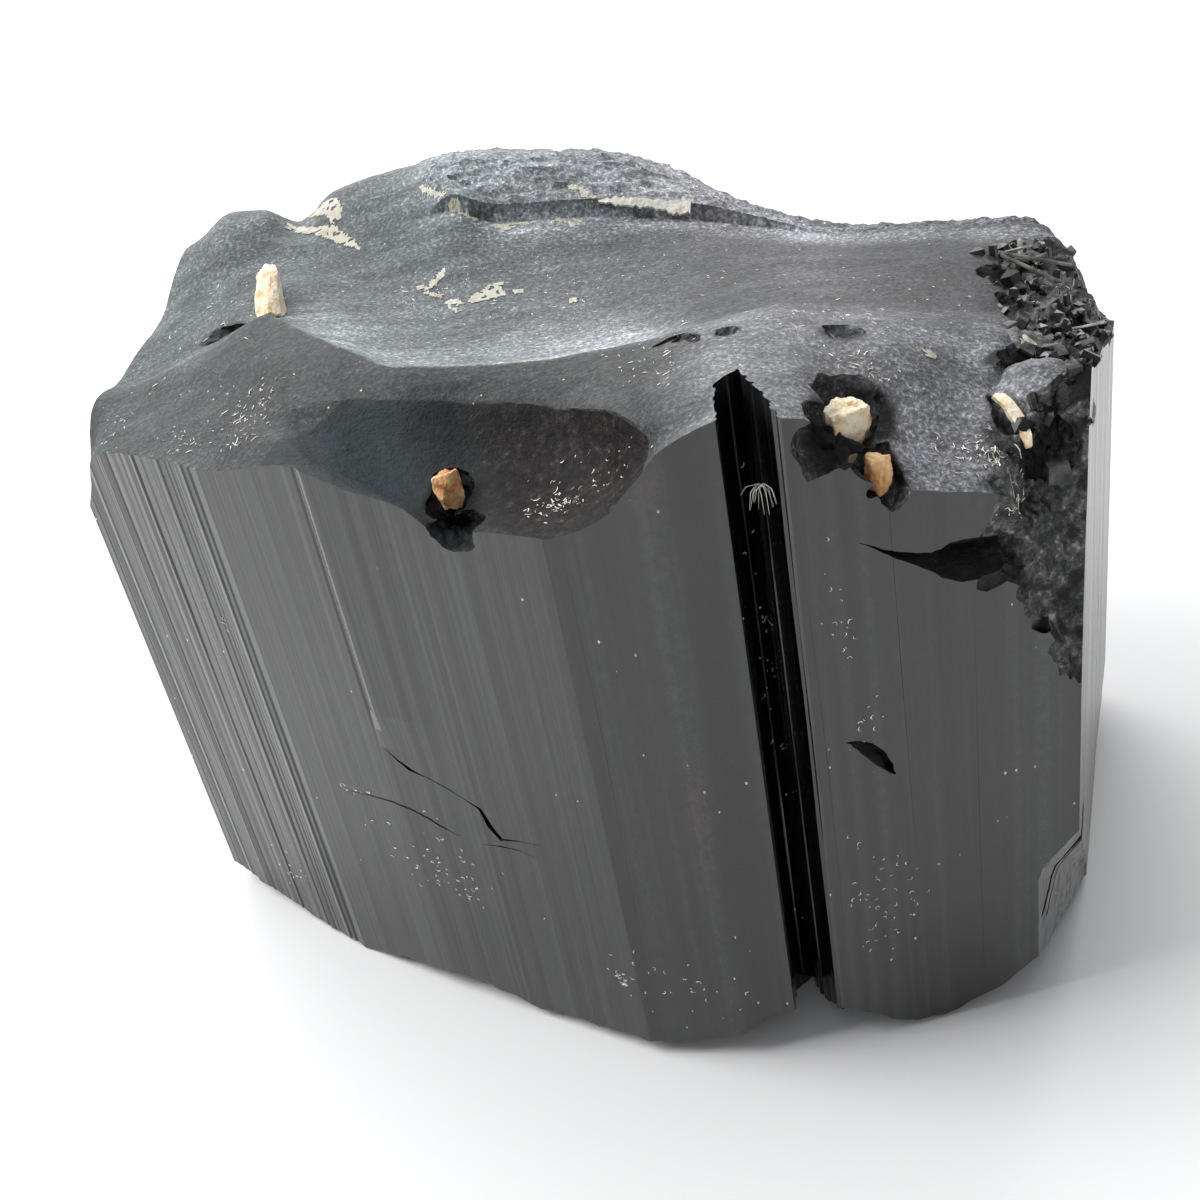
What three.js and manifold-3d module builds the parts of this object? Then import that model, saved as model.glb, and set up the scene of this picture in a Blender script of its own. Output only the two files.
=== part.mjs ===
// Black tourmaline crystal, broken across at both ends, with feldspar grains in its pits.
// Millimetres, +Z up along the crystal's long axis, the wide broken front towards -Y.
// The origin is under the middle of the crystal's box, on the surface that it rests on.

import * as THREE from "three";
import { mergeVertices } from "three/addons/utils/BufferGeometryUtils.js";
import Module from "manifold-3d";

const wasm = await Module();
wasm.setup();

// Driving dimensions

const CENTRE = new THREE.Vector3(2.35, 1.9, 0);
const COLUMN_HEIGHT = 60;
const FIELD_COLUMNS = 58;
const FIELD_LEFT = -41;
const FIELD_RIGHT = 45;
const OUTSIDE = 6;
const BELOW = -10;
const FLAT_SHARE = 0.8;
const UNDERSIDE_STEPS = 72;
const STRIATION_WIDTH = 1.9;
const STRIATION_DEPTH = 0.28;
const PLAIN_FACE = 5;
const SEAT_GAP = 0.32;
const PLATE_STEP = 1.3;
const PLATE_LEFT = [-9, -6];
const PLATE_RIGHT = [12, 24];
const SCOOP_LEFT = [-22, -17];
const SCOOP_RIGHT = [1, 5];
const BALL_DETAIL = 1;
const GRAIN_ROUGHNESS = 0.16;
const LUMP_ROUGHNESS = 0.14;
const PIT_ROUGHNESS = 0.2;
const BLACK = 0x121314;
const CREAM = 0xd9cdb4;
const ORANGE = 0xb5703a;

// Plan outline, anticlockwise from the left front corner, with the deep groove between the
// main prism and the second crystal.

const OUTLINE = [
  [-37.0, 3.5], [-25.4, -8.2], [-17.9, -14.3], [-3.6, -24.4], [2.5, -26.2], [6.9, -26.2],
  [7.6, -21.5], [9.2, -20.3], [10.3, -27.0], [27.5, -25.6], [41.7, 5.2], [37.8, 8.8],
  [29.5, 14.8], [20.6, 21.6], [16.2, 25.3], [9.0, 30.4], [-2.0, 30.9], [-16.0, 30.0],
  [-30.0, 29.7],
];
const GROOVE_BOTTOM = [OUTLINE[6], OUTLINE[7]];

// The broken top as lines that run from left to right, from the front rim to the back edge.
// Each point is x, y and height.

const FRONT_RIM = [
  [-41, 5, 35.5], [-37, 3.0, 38.0], [-34.6, 0.9, 43.4], [-29, -4.5, 45.0], [-24.6, -9, 45.3],
  [-21.1, -11.7, 46.3], [-18.2, -14.1, 46.9], [-14.6, -16.6, 45.9], [-11.7, -18.7, 45.2],
  [-9.6, -20.2, 43.6], [-7.1, -21.9, 44.3], [-2.5, -25, 44.7], [-0.1, -25.4, 45.6],
  [2.5, -26.2, 48.3], [3.7, -26.2, 49.5], [8, -26.2, 50.8], [11.4, -26.9, 50.2],
  [12.9, -26.8, 48.5], [14.4, -26.7, 45.6], [18.9, -26.3, 43.6], [23, -26, 42.3],
  [24.2, -25.9, 38.9], [26, -25.7, 32.7], [27.5, -25.6, 27.5], [45, -25.6, 27],
];
const SCOOP_FLOOR = [
  [-41, 8, 36.5], [-36.6, 5.5, 40.5], [-34, 3.4, 43.9], [-29, -1, 45.2], [-24, -5.5, 46.2],
  [-19, -10.5, 47.4], [-16.5, -13.5, 46.4], [-13, -15, 44.6], [-9.5, -16.5, 43.6],
  [-6, -18, 43.8], [-2, -20.5, 44.3], [1, -22.5, 45.6], [3.5, -24, 48.4], [6, -24, 49.8],
  [9, -24, 50.8], [12, -23.5, 50.2], [14.5, -23, 48.0], [19, -22.5, 45.4], [22, -22, 44.8],
  [25, -22.5, 44.4], [28.9, -22.4, 46.2], [45, -22.4, 46.0],
];
const SCOOP_RIM = [
  [-41, 11, 43.2], [-34, 7, 44.2], [-29, 3, 45.5], [-24, -1.5, 46.6], [-19, -7, 47.6],
  [-14.9, -8.7, 48.3], [-10.9, -11, 48.5], [-6.6, -12.2, 48.0], [-1.1, -15, 47.9],
  [2, -18.2, 48.4], [3.2, -21, 48.6], [4.4, -22.6, 49.3], [7, -21, 50.4], [9, -20, 50.6],
  [12, -19, 50.2], [15.5, -19, 48.9], [19, -18.5, 48.0], [22, -18, 46.4], [25, -18, 45.2],
  [29, -19, 45.6], [33, -13, 43.4], [36, -8, 41.5], [39, 0, 37.5], [45, 4, 35.0],
];
const CREST = [
  [-41, 15, 43.4], [-34, 11, 44.2], [-29, 9, 45.6], [-25, 8.5, 47.0], [-21.3, 8, 48.7],
  [-18.2, 4, 48.7], [-14.4, -2, 48.8], [-10.9, -6.3, 48.7], [-6.4, -7.2, 48.2],
  [-0.5, -8, 48.0], [4.8, -8.5, 48.2], [8.8, -9.5, 49.0], [13, -10, 49.2], [18, -11, 48.2],
  [22, -11, 47.2], [26, -11, 46.2], [29, -11, 45.2], [33, -6, 44.0], [36, -2, 42.5],
  [38, 1, 40.2], [41, 5, 36.6], [45, 8, 35.0],
];
const VALLEY_NEAR = [
  [-41, 19, 43.6], [-34, 15, 44.2], [-30, 13, 45.2], [-25, 12, 46.8], [-20, 11, 47.6],
  [-16, 7, 47.4], [-13, 2, 47.1], [-10, -1, 46.9], [-6, -2, 46.6], [-0.5, -2.5, 46.4],
  [5, -3, 46.6], [9, -4, 47.4], [13, -4, 47.6], [18, -4, 47.0], [22, -4, 46.4],
  [26, -4, 45.8], [30, -3, 45.0], [34, -0.5, 44.0], [37, 3, 42.5], [41, 7, 37.2],
  [45, 11, 35.0],
];
const VALLEY_FAR = [
  [-41, 23, 43.8], [-34, 20, 44.3], [-30, 18, 45.6], [-25, 17, 47.2], [-20, 16, 47.9],
  [-15, 13, 47.0], [-10, 9, 46.6], [-4, 7, 46.4], [2, 6, 46.2], [8, 5, 46.4],
  [13, 4, 46.4], [18, 4, 46.0], [22, 4, 45.6], [26, 4, 45.2], [30, 4, 44.8],
  [34, 4.5, 44.4], [37, 6, 43.8], [41, 9, 39.0], [45, 13, 36.0],
];
const BACK_FOOT = [
  [-41, 26, 44.4], [-34, 25, 44.8], [-30, 24, 46.6], [-25, 23, 48.6], [-21, 23, 48.6],
  [-17, 22, 48.2], [-12, 21, 49.0], [-7, 20, 49.8], [-3, 19, 48.4], [4, 18.5, 47.6],
  [11, 18, 46.2], [17, 15.5, 45.2], [23, 12.5, 44.4], [29, 10.5, 44.4], [34, 8.5, 44.2],
  [37, 8.2, 43.6], [41, 11, 39.5], [45, 15, 36.0],
];
const BACK_RIDGE = [
  [-41, 30, 46.0], [-34, 29, 46.5], [-28.7, 28, 48.4], [-25.3, 28, 50.2], [-22.5, 28, 50.2],
  [-20, 28, 48.4], [-16.4, 28, 50.3], [-13.2, 28, 51.0], [-9, 26, 51.4], [-7, 25, 52.2],
  [-2, 25, 51.8], [2, 25, 51.0], [7.7, 25, 49.8], [10.8, 24, 48.2], [14, 22.5, 46.6],
  [17, 21, 45.2], [20.6, 18.5, 44.0], [25, 15.5, 43.6], [30, 12.8, 43.8], [35, 10.4, 44.0],
  [38, 10, 43.6], [45, 17, 36.0],
];
const BACK_EDGE = [
  [-41, 33, 46.0], [-28.7, 31.5, 48.3], [-25.3, 31.5, 50.0], [-20, 31.5, 48.0],
  [-16.4, 31.5, 50.0], [-7, 32, 50.8], [1.3, 32, 49.3], [8, 31.5, 48.0], [10.8, 29, 47.6],
  [16.4, 25.2, 44.8], [20.8, 22, 43.2], [24.7, 18.6, 42.7], [29.7, 15, 42.7],
  [35.2, 12, 43.0], [38, 11, 43.2], [45, 19, 36.0],
];

// Height of the chipped lower rim, each point an angle in degrees about the centre and a
// height. The crystal rests on the flat break inside it.

const LOWER_RIM = [
  [-180, 1.6], [-170, 0.4], [-158, 0.2], [-150, 1.2], [-138, 1.8], [-125, 1.0], [-110, 1.1],
  [-97, 1.4], [-90, 2.2], [-80, 3.9], [-74, 3.9], [-68, 1.2], [-62, 0.0], [-55, 1.9],
  [-49, 5.0], [-44, 4.0], [-36, 1.4], [-28, 0.8], [-15, 4.0], [0, 3.8], [20, 2.5], [45, 1.2],
  [70, 2.8], [95, 1.4], [120, 2.6], [140, 3.4], [160, 1.5], [180, 1.8],
];

// Rings of the underside: share of the reach to the outline, and share of the rim's height.
// The last ring lies outside the crystal.

const UNDERSIDE_RINGS = [[FLAT_SHARE, 0], [0.92, 0.42], [1.0, 1.0], [1.2, 2.4]];

// The chip off the lower right corner: its plan, the height of its upper side at one place,
// and how steeply that side rises to the right and towards the viewer.

const CHIP_PLAN = [[24.2, -26.4], [25, -29], [36, -29], [34, -15.6], [31.6, -16.6]];
const CHIP_AT = new THREE.Vector3(24.4, -26, 12);
const CHIP_RISE_RIGHT = 1.2;
const CHIP_RISE_FRONT = 1.9;
const CHIP_HEIGHT = 20;

// Small crystals on the upper right corner: x, y, foot height, radius, length, lean in
// degrees and the direction of the lean.

const SMALL_CRYSTALS = [
  [33.0, -6.8, 42.6, 1.0, 1.9, 24, -140], [30.8, -10.8, 43.4, 0.9, 1.7, 30, 100],
  [29.4, -14.6, 43.8, 1.0, 1.8, 22, -110], [34.2, -2.6, 42.6, 0.9, 1.7, 34, 160],
  [31.8, -2.0, 43.9, 1.0, 1.6, 18, 150], [35.4, 1.2, 42.6, 0.9, 1.8, 20, 200],
  [27.8, -18.6, 44.2, 0.9, 1.7, 30, -100], [33.0, 3.0, 43.9, 0.9, 1.5, 26, 130],
  [29.4, -7.0, 44.2, 0.8, 1.6, 30, 200], [35.9, 4.2, 43.0, 0.8, 1.6, 14, 180],
  [25.6, -21.0, 43.6, 0.9, 1.6, 30, -120], [28.6, -11.2, 44.2, 0.8, 1.5, 20, 120],
  [33.0, -9.6, 41.9, 0.8, 1.6, 26, -160], [30.6, 2.0, 44.3, 0.8, 1.5, 24, 100],
];

// Needles that lie across the corner: two ends and a radius.

const NEEDLES = [
  [[30.2, -0.6, 45.5], [35.4, 4.0, 45.2], 0.5],
  [[30.8, 1.2, 45.0], [35.8, 2.0, 44.8], 0.45],
  [[29.6, 2.0, 45.1], [34.0, -2.4, 44.7], 0.42],
  [[32.4, -4.6, 43.6], [35.6, 0.2, 43.7], 0.42],
];

// Rounded lumps on the corner: x, y, height and the three radii.

const LUMPS = [
  [27.3, -16.6, 43.2, 2.5, 2.3, 2.8],
  [24.6, -20.6, 43.4, 1.5, 1.4, 1.6],
];

// Feldspar grains: x, y, height, the three radii, lean about X and turn about Z in degrees,
// and colour.

const GRAINS = {
  feldspar_grain_front: [-8.9, -15.6, 44.3, 1.0, 1.0, 1.6, 0, 20, ORANGE],
  feldspar_grain_right: [15.0, -22.4, 47.1, 1.6, 1.4, 2.0, 0, -15, CREAM],
  feldspar_chip_orange: [15.7, -24.4, 44.6, 0.75, 0.75, 1.3, 0, 35, ORANGE],
  feldspar_grain_left: [-21.1, 11.6, 48.4, 1.15, 3.0, 1.3, 14, 4, CREAM],
  feldspar_blade: [25.1, -18.6, 43.6, 0.45, 0.8, 1.6, 0, 40, CREAM],
};

// Pits around the grains and on the broken top: x, y, height and the three radii.

const PITS = [
  [-8.8, -16.2, 43.8, 1.7, 2.0, 2.2],
  [-8.4, -19.6, 43.0, 1.5, 2.4, 2.0],
  [15.2, -22.2, 47.6, 2.9, 2.3, 2.4],
  [15.7, -24.9, 44.6, 1.3, 1.5, 1.9],
  [9.7, -12.6, 49.9, 0.9, 0.9, 0.8],
  [17.0, -13.0, 48.6, 1.3, 1.0, 1.0],
  [-23.9, 8.6, 47.9, 2.9, 1.1, 0.9],
  [13.4, -27.2, 25.6, 1.6, 0.9, 1.1],
  [19.2, -27.0, 38.6, 3.6, 1.2, 1.2],
  [24.6, -19.2, 44.4, 1.3, 1.4, 1.5],
];

// Turns a three.js geometry into a solid.

function toSolid(geometry) {
  const bare = geometry.clone();
  bare.deleteAttribute("normal");
  bare.deleteAttribute("uv");
  const merged = mergeVertices(bare, 1e-5);
  return new wasm.Manifold(new wasm.Mesh({
    numProp: 3,
    vertProperties: new Float32Array(merged.attributes.position.array),
    triVerts: new Uint32Array(merged.index.array),
  }));
}

// Turns a solid back into a three.js geometry.

function toGeometry(solid) {
  const mesh = solid.getMesh();
  const geometry = new THREE.BufferGeometry();
  geometry.setAttribute("position", new THREE.BufferAttribute(mesh.vertProperties, 3));
  geometry.setIndex(new THREE.BufferAttribute(mesh.triVerts, 1));
  geometry.computeVertexNormals();
  return geometry;
}

// Reads a polyline of [key, value, value...] rows at a key.

function sample(rows, key, column) {
  const last = rows.length - 1;
  if (key <= rows[0][0]) return rows[0][column];
  if (key >= rows[last][0]) return rows[last][column];
  const next = rows.findIndex((row) => row[0] > key);
  const a = rows[next - 1];
  const b = rows[next];
  return a[column] + ((b[column] - a[column]) * (key - a[0])) / (b[0] - a[0]);
}

// Plan outline with growth striations: each face is cut in strips that stand out or in by
// turns, as the prism faces of tourmaline are grooved along their length.

function striatedOutline() {
  const points = [];
  OUTLINE.forEach((corner, index) => {
    const a = new THREE.Vector2(...corner);
    const b = new THREE.Vector2(...OUTLINE[(index + 1) % OUTLINE.length]);
    const along = b.clone().sub(a);
    const length = along.length();
    const out = new THREE.Vector2(along.y, -along.x).divideScalar(length);
    points.push(a);
    if (length < PLAIN_FACE) return;
    const strips = Math.round(length / STRIATION_WIDTH);
    for (let k = 0; k < strips; k += 1) {
      const wave = Math.sin(2.4 * k + 1.7 * index) + 0.6 * Math.sin(5.1 * k + index);
      const start = a.clone().addScaledVector(along, (k + 0.06) / strips);
      const end = a.clone().addScaledVector(along, (k + 0.94) / strips);
      points.push(start.addScaledVector(out, 0.5 * STRIATION_DEPTH * wave));
      points.push(end.addScaledVector(out, 0.5 * STRIATION_DEPTH * wave));
    }
  });
  return points;
}

function column() {
  const shape = new THREE.Shape(striatedOutline());
  const geometry = new THREE.ExtrudeGeometry(shape, { depth: COLUMN_HEIGHT, bevelEnabled: false });
  return toSolid(geometry.translate(0, 0, -1));
}

// A closed solid under a grid of surface points: rows by columns, with a flat floor.

function solidUnder(rows, floor) {
  const height = rows.length;
  const width = rows[0].length;
  const positions = [];
  rows.forEach((row) => row.forEach((p) => positions.push(p.x, p.y, p.z)));
  rows.forEach((row) => row.forEach((p) => positions.push(p.x, p.y, floor)));
  const top = (r, c) => r * width + c;
  const low = (r, c) => height * width + top(r, c);
  const index = [];
  const quad = (a, b, c, d) => index.push(a, b, c, a, c, d);
  for (let r = 0; r + 1 < height; r += 1) {
    for (let c = 0; c + 1 < width; c += 1) {
      quad(top(r, c), top(r, c + 1), top(r + 1, c + 1), top(r + 1, c));
      quad(low(r, c), low(r + 1, c), low(r + 1, c + 1), low(r, c + 1));
    }
  }
  for (let c = 0; c + 1 < width; c += 1) {
    quad(low(0, c), low(0, c + 1), top(0, c + 1), top(0, c));
    quad(top(height - 1, c), top(height - 1, c + 1), low(height - 1, c + 1), low(height - 1, c));
  }
  for (let r = 0; r + 1 < height; r += 1) {
    quad(top(r, 0), top(r + 1, 0), low(r + 1, 0), low(r, 0));
    quad(low(r, width - 1), low(r + 1, width - 1), top(r + 1, width - 1), top(r, width - 1));
  }
  const geometry = new THREE.BufferGeometry();
  geometry.setAttribute("position", new THREE.Float32BufferAttribute(positions, 3));
  geometry.setIndex(index);
  return toSolid(geometry);
}

// A share that rises from 0 to 1 over one stretch and falls back over another.

function between(x, left, right) {
  return THREE.MathUtils.smoothstep(x, ...left) * (1 - THREE.MathUtils.smoothstep(x, ...right));
}

// The broken top: the feature lines, a row midway between each two, and the step of the
// rough plate at the back. A midway row sags where the break is hollow.

function brokenTop() {
  const lineAt = (line, x) => new THREE.Vector3(x, sample(line, x, 1), sample(line, x, 2));
  const plate = (x) => PLATE_STEP * between(x, PLATE_LEFT, PLATE_RIGHT);
  const scoop = (x) => between(x, SCOOP_LEFT, SCOOP_RIGHT);
  const lines = [
    { line: FRONT_RIM, sag: 0 }, { line: SCOOP_FLOOR, sag: 0.9 }, { line: SCOOP_RIM, sag: -0.2 },
    { line: CREST, sag: 0.35 }, { line: VALLEY_NEAR, sag: 0.2 }, { line: VALLEY_FAR, sag: 0.4 },
    { line: BACK_FOOT, sag: 0 }, { line: BACK_RIDGE, sag: 0 }, { line: BACK_EDGE, sag: 0 },
  ];
  const rows = [];
  lines.forEach(({ line, sag }, k) => {
    const row = [];
    const mid = [];
    const step = [];
    for (let c = 0; c <= FIELD_COLUMNS; c += 1) {
      const x = THREE.MathUtils.lerp(FIELD_LEFT, FIELD_RIGHT, c / FIELD_COLUMNS);
      const here = lineAt(line, x);
      row.push(here);
      if (line === BACK_FOOT) {
        step.push(new THREE.Vector3(x, here.y + 0.5, here.z + plate(x)));
      }
      if (k + 1 < lines.length) {
        const next = lineAt(lines[k + 1].line, x);
        const middle = here.clone().lerp(next, 0.5);
        let lift = -sag;
        if (line === SCOOP_FLOOR) lift = -sag * scoop(x);
        if (line === BACK_FOOT) lift = 0.5 * plate(x);
        mid.push(middle.setZ(middle.z + lift));
      }
    }
    rows.push(row);
    if (step.length) rows.push(step);
    if (mid.length) rows.push(mid);
  });
  const shifted = (row, dy) => row.map((p) => new THREE.Vector3(p.x, p.y + dy, p.z));
  rows.unshift(shifted(rows[0], -OUTSIDE));
  rows.push(shifted(rows[rows.length - 1], OUTSIDE));
  return solidUnder(rows, BELOW);
}

// What lies under the crystal: flat in the middle, rising to the chipped rim.

function underside() {
  const steps = UNDERSIDE_STEPS;
  const ring = ([share, height]) => Array.from({ length: steps }, (_, k) => {
    const degrees = -180 + (360 * k) / steps;
    const angle = THREE.MathUtils.degToRad(degrees);
    const direction = new THREE.Vector2(Math.cos(angle), Math.sin(angle));
    const reach = reachOfOutline(direction) * share;
    const z = height * sample(LOWER_RIM, degrees, 1);
    return new THREE.Vector3(CENTRE.x + direction.x * reach, CENTRE.y + direction.y * reach, z);
  });
  const rings = UNDERSIDE_RINGS.map(ring);
  const positions = [CENTRE.x, CENTRE.y, 0];
  rings.forEach((points) => points.forEach((p) => positions.push(p.x, p.y, p.z)));
  rings[rings.length - 1].forEach((p) => positions.push(p.x, p.y, BELOW));
  positions.push(CENTRE.x, CENTRE.y, BELOW);
  const at = (r, k) => 1 + r * steps + (k % steps);
  const lowest = 1 + (rings.length + 1) * steps;
  const index = [];
  for (let k = 0; k < steps; k += 1) {
    index.push(0, at(0, k), at(0, k + 1));
    for (let r = 0; r < rings.length; r += 1) {
      index.push(at(r, k), at(r + 1, k), at(r + 1, k + 1));
      index.push(at(r, k), at(r + 1, k + 1), at(r, k + 1));
    }
    index.push(lowest, at(rings.length, k + 1), at(rings.length, k));
  }
  const geometry = new THREE.BufferGeometry();
  geometry.setAttribute("position", new THREE.Float32BufferAttribute(positions, 3));
  geometry.setIndex(index);
  return toSolid(geometry);
}

// Distance from the centre to the plan outline in a direction, across the groove's mouth.

function reachOfOutline(direction) {
  const rim = OUTLINE.filter((corner) => !GROOVE_BOTTOM.includes(corner));
  let reach = 0;
  rim.forEach((corner, index) => {
    const a = new THREE.Vector2(corner[0] - CENTRE.x, corner[1] - CENTRE.y);
    const far = rim[(index + 1) % rim.length];
    const edge = new THREE.Vector2(far[0] - corner[0], far[1] - corner[1]);
    const cross = direction.x * edge.y - direction.y * edge.x;
    if (Math.abs(cross) < 1e-9) return;
    const distance = (a.x * edge.y - a.y * edge.x) / cross;
    const along = (a.x * direction.y - a.y * direction.x) / cross;
    if (distance > reach && along >= 0 && along <= 1) reach = distance;
  });
  return reach;
}

// An irregular lump or grain: a coarse ball whose points are moved in and out.

function roughBall(radii, roughness, seed) {
  const geometry = mergeVertices(bareBall(), 1e-5);
  const position = geometry.attributes.position;
  const p = new THREE.Vector3();
  for (let k = 0; k < position.count; k += 1) {
    p.fromBufferAttribute(position, k);
    const wave = Math.sin(3.1 * p.x + 4.7 * p.y + seed) + Math.sin(5.3 * p.z - 2.9 * p.y + 2.1 * seed);
    p.multiplyScalar(1 + 0.5 * roughness * wave).multiply(radii);
    position.setXYZ(k, p.x, p.y, p.z);
  }
  return geometry;
}

function bareBall() {
  const ball = new THREE.IcosahedronGeometry(1, BALL_DETAIL);
  ball.deleteAttribute("normal");
  ball.deleteAttribute("uv");
  return ball;
}

// A six-sided prism with a low pyramid at its free end.

function smallCrystal(x, y, z, radius, length, lean, direction) {
  const profile = [
    new THREE.Vector2(0, -radius), new THREE.Vector2(radius, -radius),
    new THREE.Vector2(radius, length), new THREE.Vector2(0, length + 0.55 * radius),
  ];
  const geometry = new THREE.LatheGeometry(profile, 6);
  geometry.rotateX(Math.PI / 2);
  geometry.rotateZ(x);
  geometry.rotateY(THREE.MathUtils.degToRad(lean));
  geometry.rotateZ(THREE.MathUtils.degToRad(direction));
  return toSolid(geometry.translate(x, y, z));
}

function needle(from, to, radius) {
  const a = new THREE.Vector3(...from);
  const b = new THREE.Vector3(...to);
  const geometry = new THREE.CylinderGeometry(0.4 * radius, radius, a.distanceTo(b), 5);
  const turn = new THREE.Quaternion().setFromUnitVectors(
    new THREE.Vector3(0, 1, 0),
    b.clone().sub(a).normalize(),
  );
  const middle = a.lerp(b, 0.5);
  return toSolid(geometry.applyQuaternion(turn).translate(middle.x, middle.y, middle.z));
}

// A chip off the lower right corner: a flat-sided piece that the corner has lost.

function lowerChip() {
  const shape = new THREE.Shape(CHIP_PLAN.map((corner) => new THREE.Vector2(...corner)));
  const geometry = new THREE.ExtrudeGeometry(shape, { depth: CHIP_HEIGHT, bevelEnabled: false });
  geometry.translate(0, 0, BELOW);
  const position = geometry.attributes.position;
  for (let k = 0; k < position.count; k += 1) {
    const right = position.getX(k) - CHIP_AT.x;
    const front = CHIP_AT.y - position.getY(k);
    const height = CHIP_AT.z + CHIP_RISE_RIGHT * right + CHIP_RISE_FRONT * front;
    if (position.getZ(k) > BELOW) position.setZ(k, height);
  }
  return toSolid(geometry);
}

function grainGeometry(values, extra, seed) {
  const [x, y, z, rx, ry, rz, lean, turn] = values;
  const radii = new THREE.Vector3(rx + extra, ry + extra, rz + extra);
  const geometry = roughBall(radii, GRAIN_ROUGHNESS, seed);
  geometry.rotateX(THREE.MathUtils.degToRad(lean)).rotateZ(THREE.MathUtils.degToRad(turn));
  return geometry.translate(x, y, z);
}

function crystalGeometry() {
  let solid = column().intersect(brokenTop()).subtract(underside()).subtract(lowerChip());
  LUMPS.forEach(([x, y, z, rx, ry, rz], k) => {
    const lump = roughBall(new THREE.Vector3(rx, ry, rz), LUMP_ROUGHNESS, k + 2).translate(x, y, z);
    solid = solid.add(toSolid(lump));
  });
  SMALL_CRYSTALS.forEach((row) => {
    solid = solid.add(smallCrystal(...row));
  });
  NEEDLES.forEach((row) => {
    solid = solid.add(needle(...row));
  });
  PITS.forEach(([x, y, z, rx, ry, rz], k) => {
    const pit = roughBall(new THREE.Vector3(rx, ry, rz), PIT_ROUGHNESS, 3 * k + 1).translate(x, y, z);
    solid = solid.subtract(toSolid(pit));
  });
  Object.values(GRAINS).forEach((values, k) => {
    solid = solid.subtract(toSolid(grainGeometry(values, SEAT_GAP, k)));
  });
  return toGeometry(solid);
}

function addPiece(group, name, geometry, color, roughness) {
  const material = new THREE.MeshStandardMaterial({ color, roughness, metalness: 0 });
  const mesh = new THREE.Mesh(geometry, material);
  mesh.name = name;
  mesh.position.set(-CENTRE.x, -CENTRE.y, 0);
  group.add(mesh);
}

const group = new THREE.Group();
addPiece(group, "tourmaline_crystal", crystalGeometry(), BLACK, 0.3);
Object.entries(GRAINS).forEach(([name, values], k) => {
  addPiece(group, name, grainGeometry(values, 0, k), values[8], 0.7);
});

export default group;
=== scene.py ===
"""Black tourmaline crystal on a pale floor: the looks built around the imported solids.

The crystal's fine surface is made from the same feature lines as its solid: a striated
column, cut by the broken top and the chipped underside, with pits, cracks and small crystals.
"""

import itertools
import math
import random

import bmesh
import bpy
import numpy as np
from mathutils import Matrix, Vector, noise
from mathutils.bvhtree import BVHTree


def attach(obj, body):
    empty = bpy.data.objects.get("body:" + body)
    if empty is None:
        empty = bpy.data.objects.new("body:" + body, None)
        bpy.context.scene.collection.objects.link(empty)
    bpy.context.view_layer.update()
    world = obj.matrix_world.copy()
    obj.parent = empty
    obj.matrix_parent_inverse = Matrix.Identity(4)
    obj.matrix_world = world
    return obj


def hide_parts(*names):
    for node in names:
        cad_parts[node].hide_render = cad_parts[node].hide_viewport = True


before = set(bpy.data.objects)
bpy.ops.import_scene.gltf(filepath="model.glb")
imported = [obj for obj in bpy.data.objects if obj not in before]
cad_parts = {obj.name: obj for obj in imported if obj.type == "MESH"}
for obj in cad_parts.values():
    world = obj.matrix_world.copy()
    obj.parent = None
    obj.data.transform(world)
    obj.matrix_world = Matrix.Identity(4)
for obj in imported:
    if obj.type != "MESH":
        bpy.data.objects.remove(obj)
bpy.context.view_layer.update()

# Driving dimensions in millimetres on the crystal's own plan, which MM turns into metres, then
# seeds of the random draws, the crystal's two materials, and angles in radians

MM = 0.001
CENTRE = Vector((2.35, 1.9, 0.0))
FIELD_LEFT = -41.0
FIELD_RIGHT = 45.0
FIELD_STEP = 0.36
OUTSIDE = 6.0
COLUMN_TOP = 56.0
COLUMN_ROW = 1.6
FLAT_SHARE = 0.8
UNDERSIDE_STEPS = 216
UNDERSIDE_SHARES = [FLAT_SHARE, 0.84, 0.88, 0.91, 0.94, 0.97, 1.0, 1.05, 1.2]
BELOW = -10.0
DARK_BELOW = 41.5
SCOOP_ABOVE = 40
CUTS_END = 21.6
RAY_TOP = 70.0
RAY_FRONT = -60.0
COLUMN_SEED = 7
CHIP_SEED = 60
LUMP_SEED = 40
CRYSTAL_SEED = 11
BLOCK_SEED = 5
FILM_SEED = 3
SLIVER_SEED = 21
FACE = 0
BREAK = 1
SMOOTH_ANGLE = math.radians(24)
GRAIN_ANGLE = math.radians(30)
CIRCLE = 6.28

# The camera of the photograph: where it stands, its lens and sensor, how near it sees in metres,
# and in the photo's pixels where upright edges meet, seen from the picture's middle, and its
# focal length; and the floor's half width in metres

CAMERA_PLACE = (-1.0, -98.0, 87.8)
CAMERA_LENS = 45.0
CAMERA_SENSOR = 36.0
CAMERA_NEAR = 0.005
VANISHING_POINT = (445.0, 2250.0)
FOCAL_PIXELS = 1500.0
FLOOR_HALF = 3.0

# Plan outline, anticlockwise from the left front corner

OUTLINE = [
    (-37.0, 3.5), (-25.4, -8.2), (-17.9, -14.3), (-3.6, -24.4), (2.5, -26.2), (6.9, -26.2),
    (7.6, -21.5), (9.2, -20.3), (10.3, -27.0), (27.5, -25.6), (41.7, 5.2), (37.8, 8.8),
    (29.5, 14.8), (20.6, 21.6), (16.2, 25.3), (9.0, 30.4), (-2.0, 30.9), (-16.0, 30.0),
    (-30.0, 29.7),
]
GROOVE_BOTTOM = (6, 7)
RIGHT_RIM = (27.5, -25.6, 0.461)
GROOVE_MOUTH = (1.5, 2.5, 10.6, 11.4)
GROOVE_BACK = -18
GROOVE_TOP = 49.2
FRONT_LINE = [corner for k, corner in enumerate(OUTLINE[:11]) if k not in GROOVE_BOTTOM]

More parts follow.
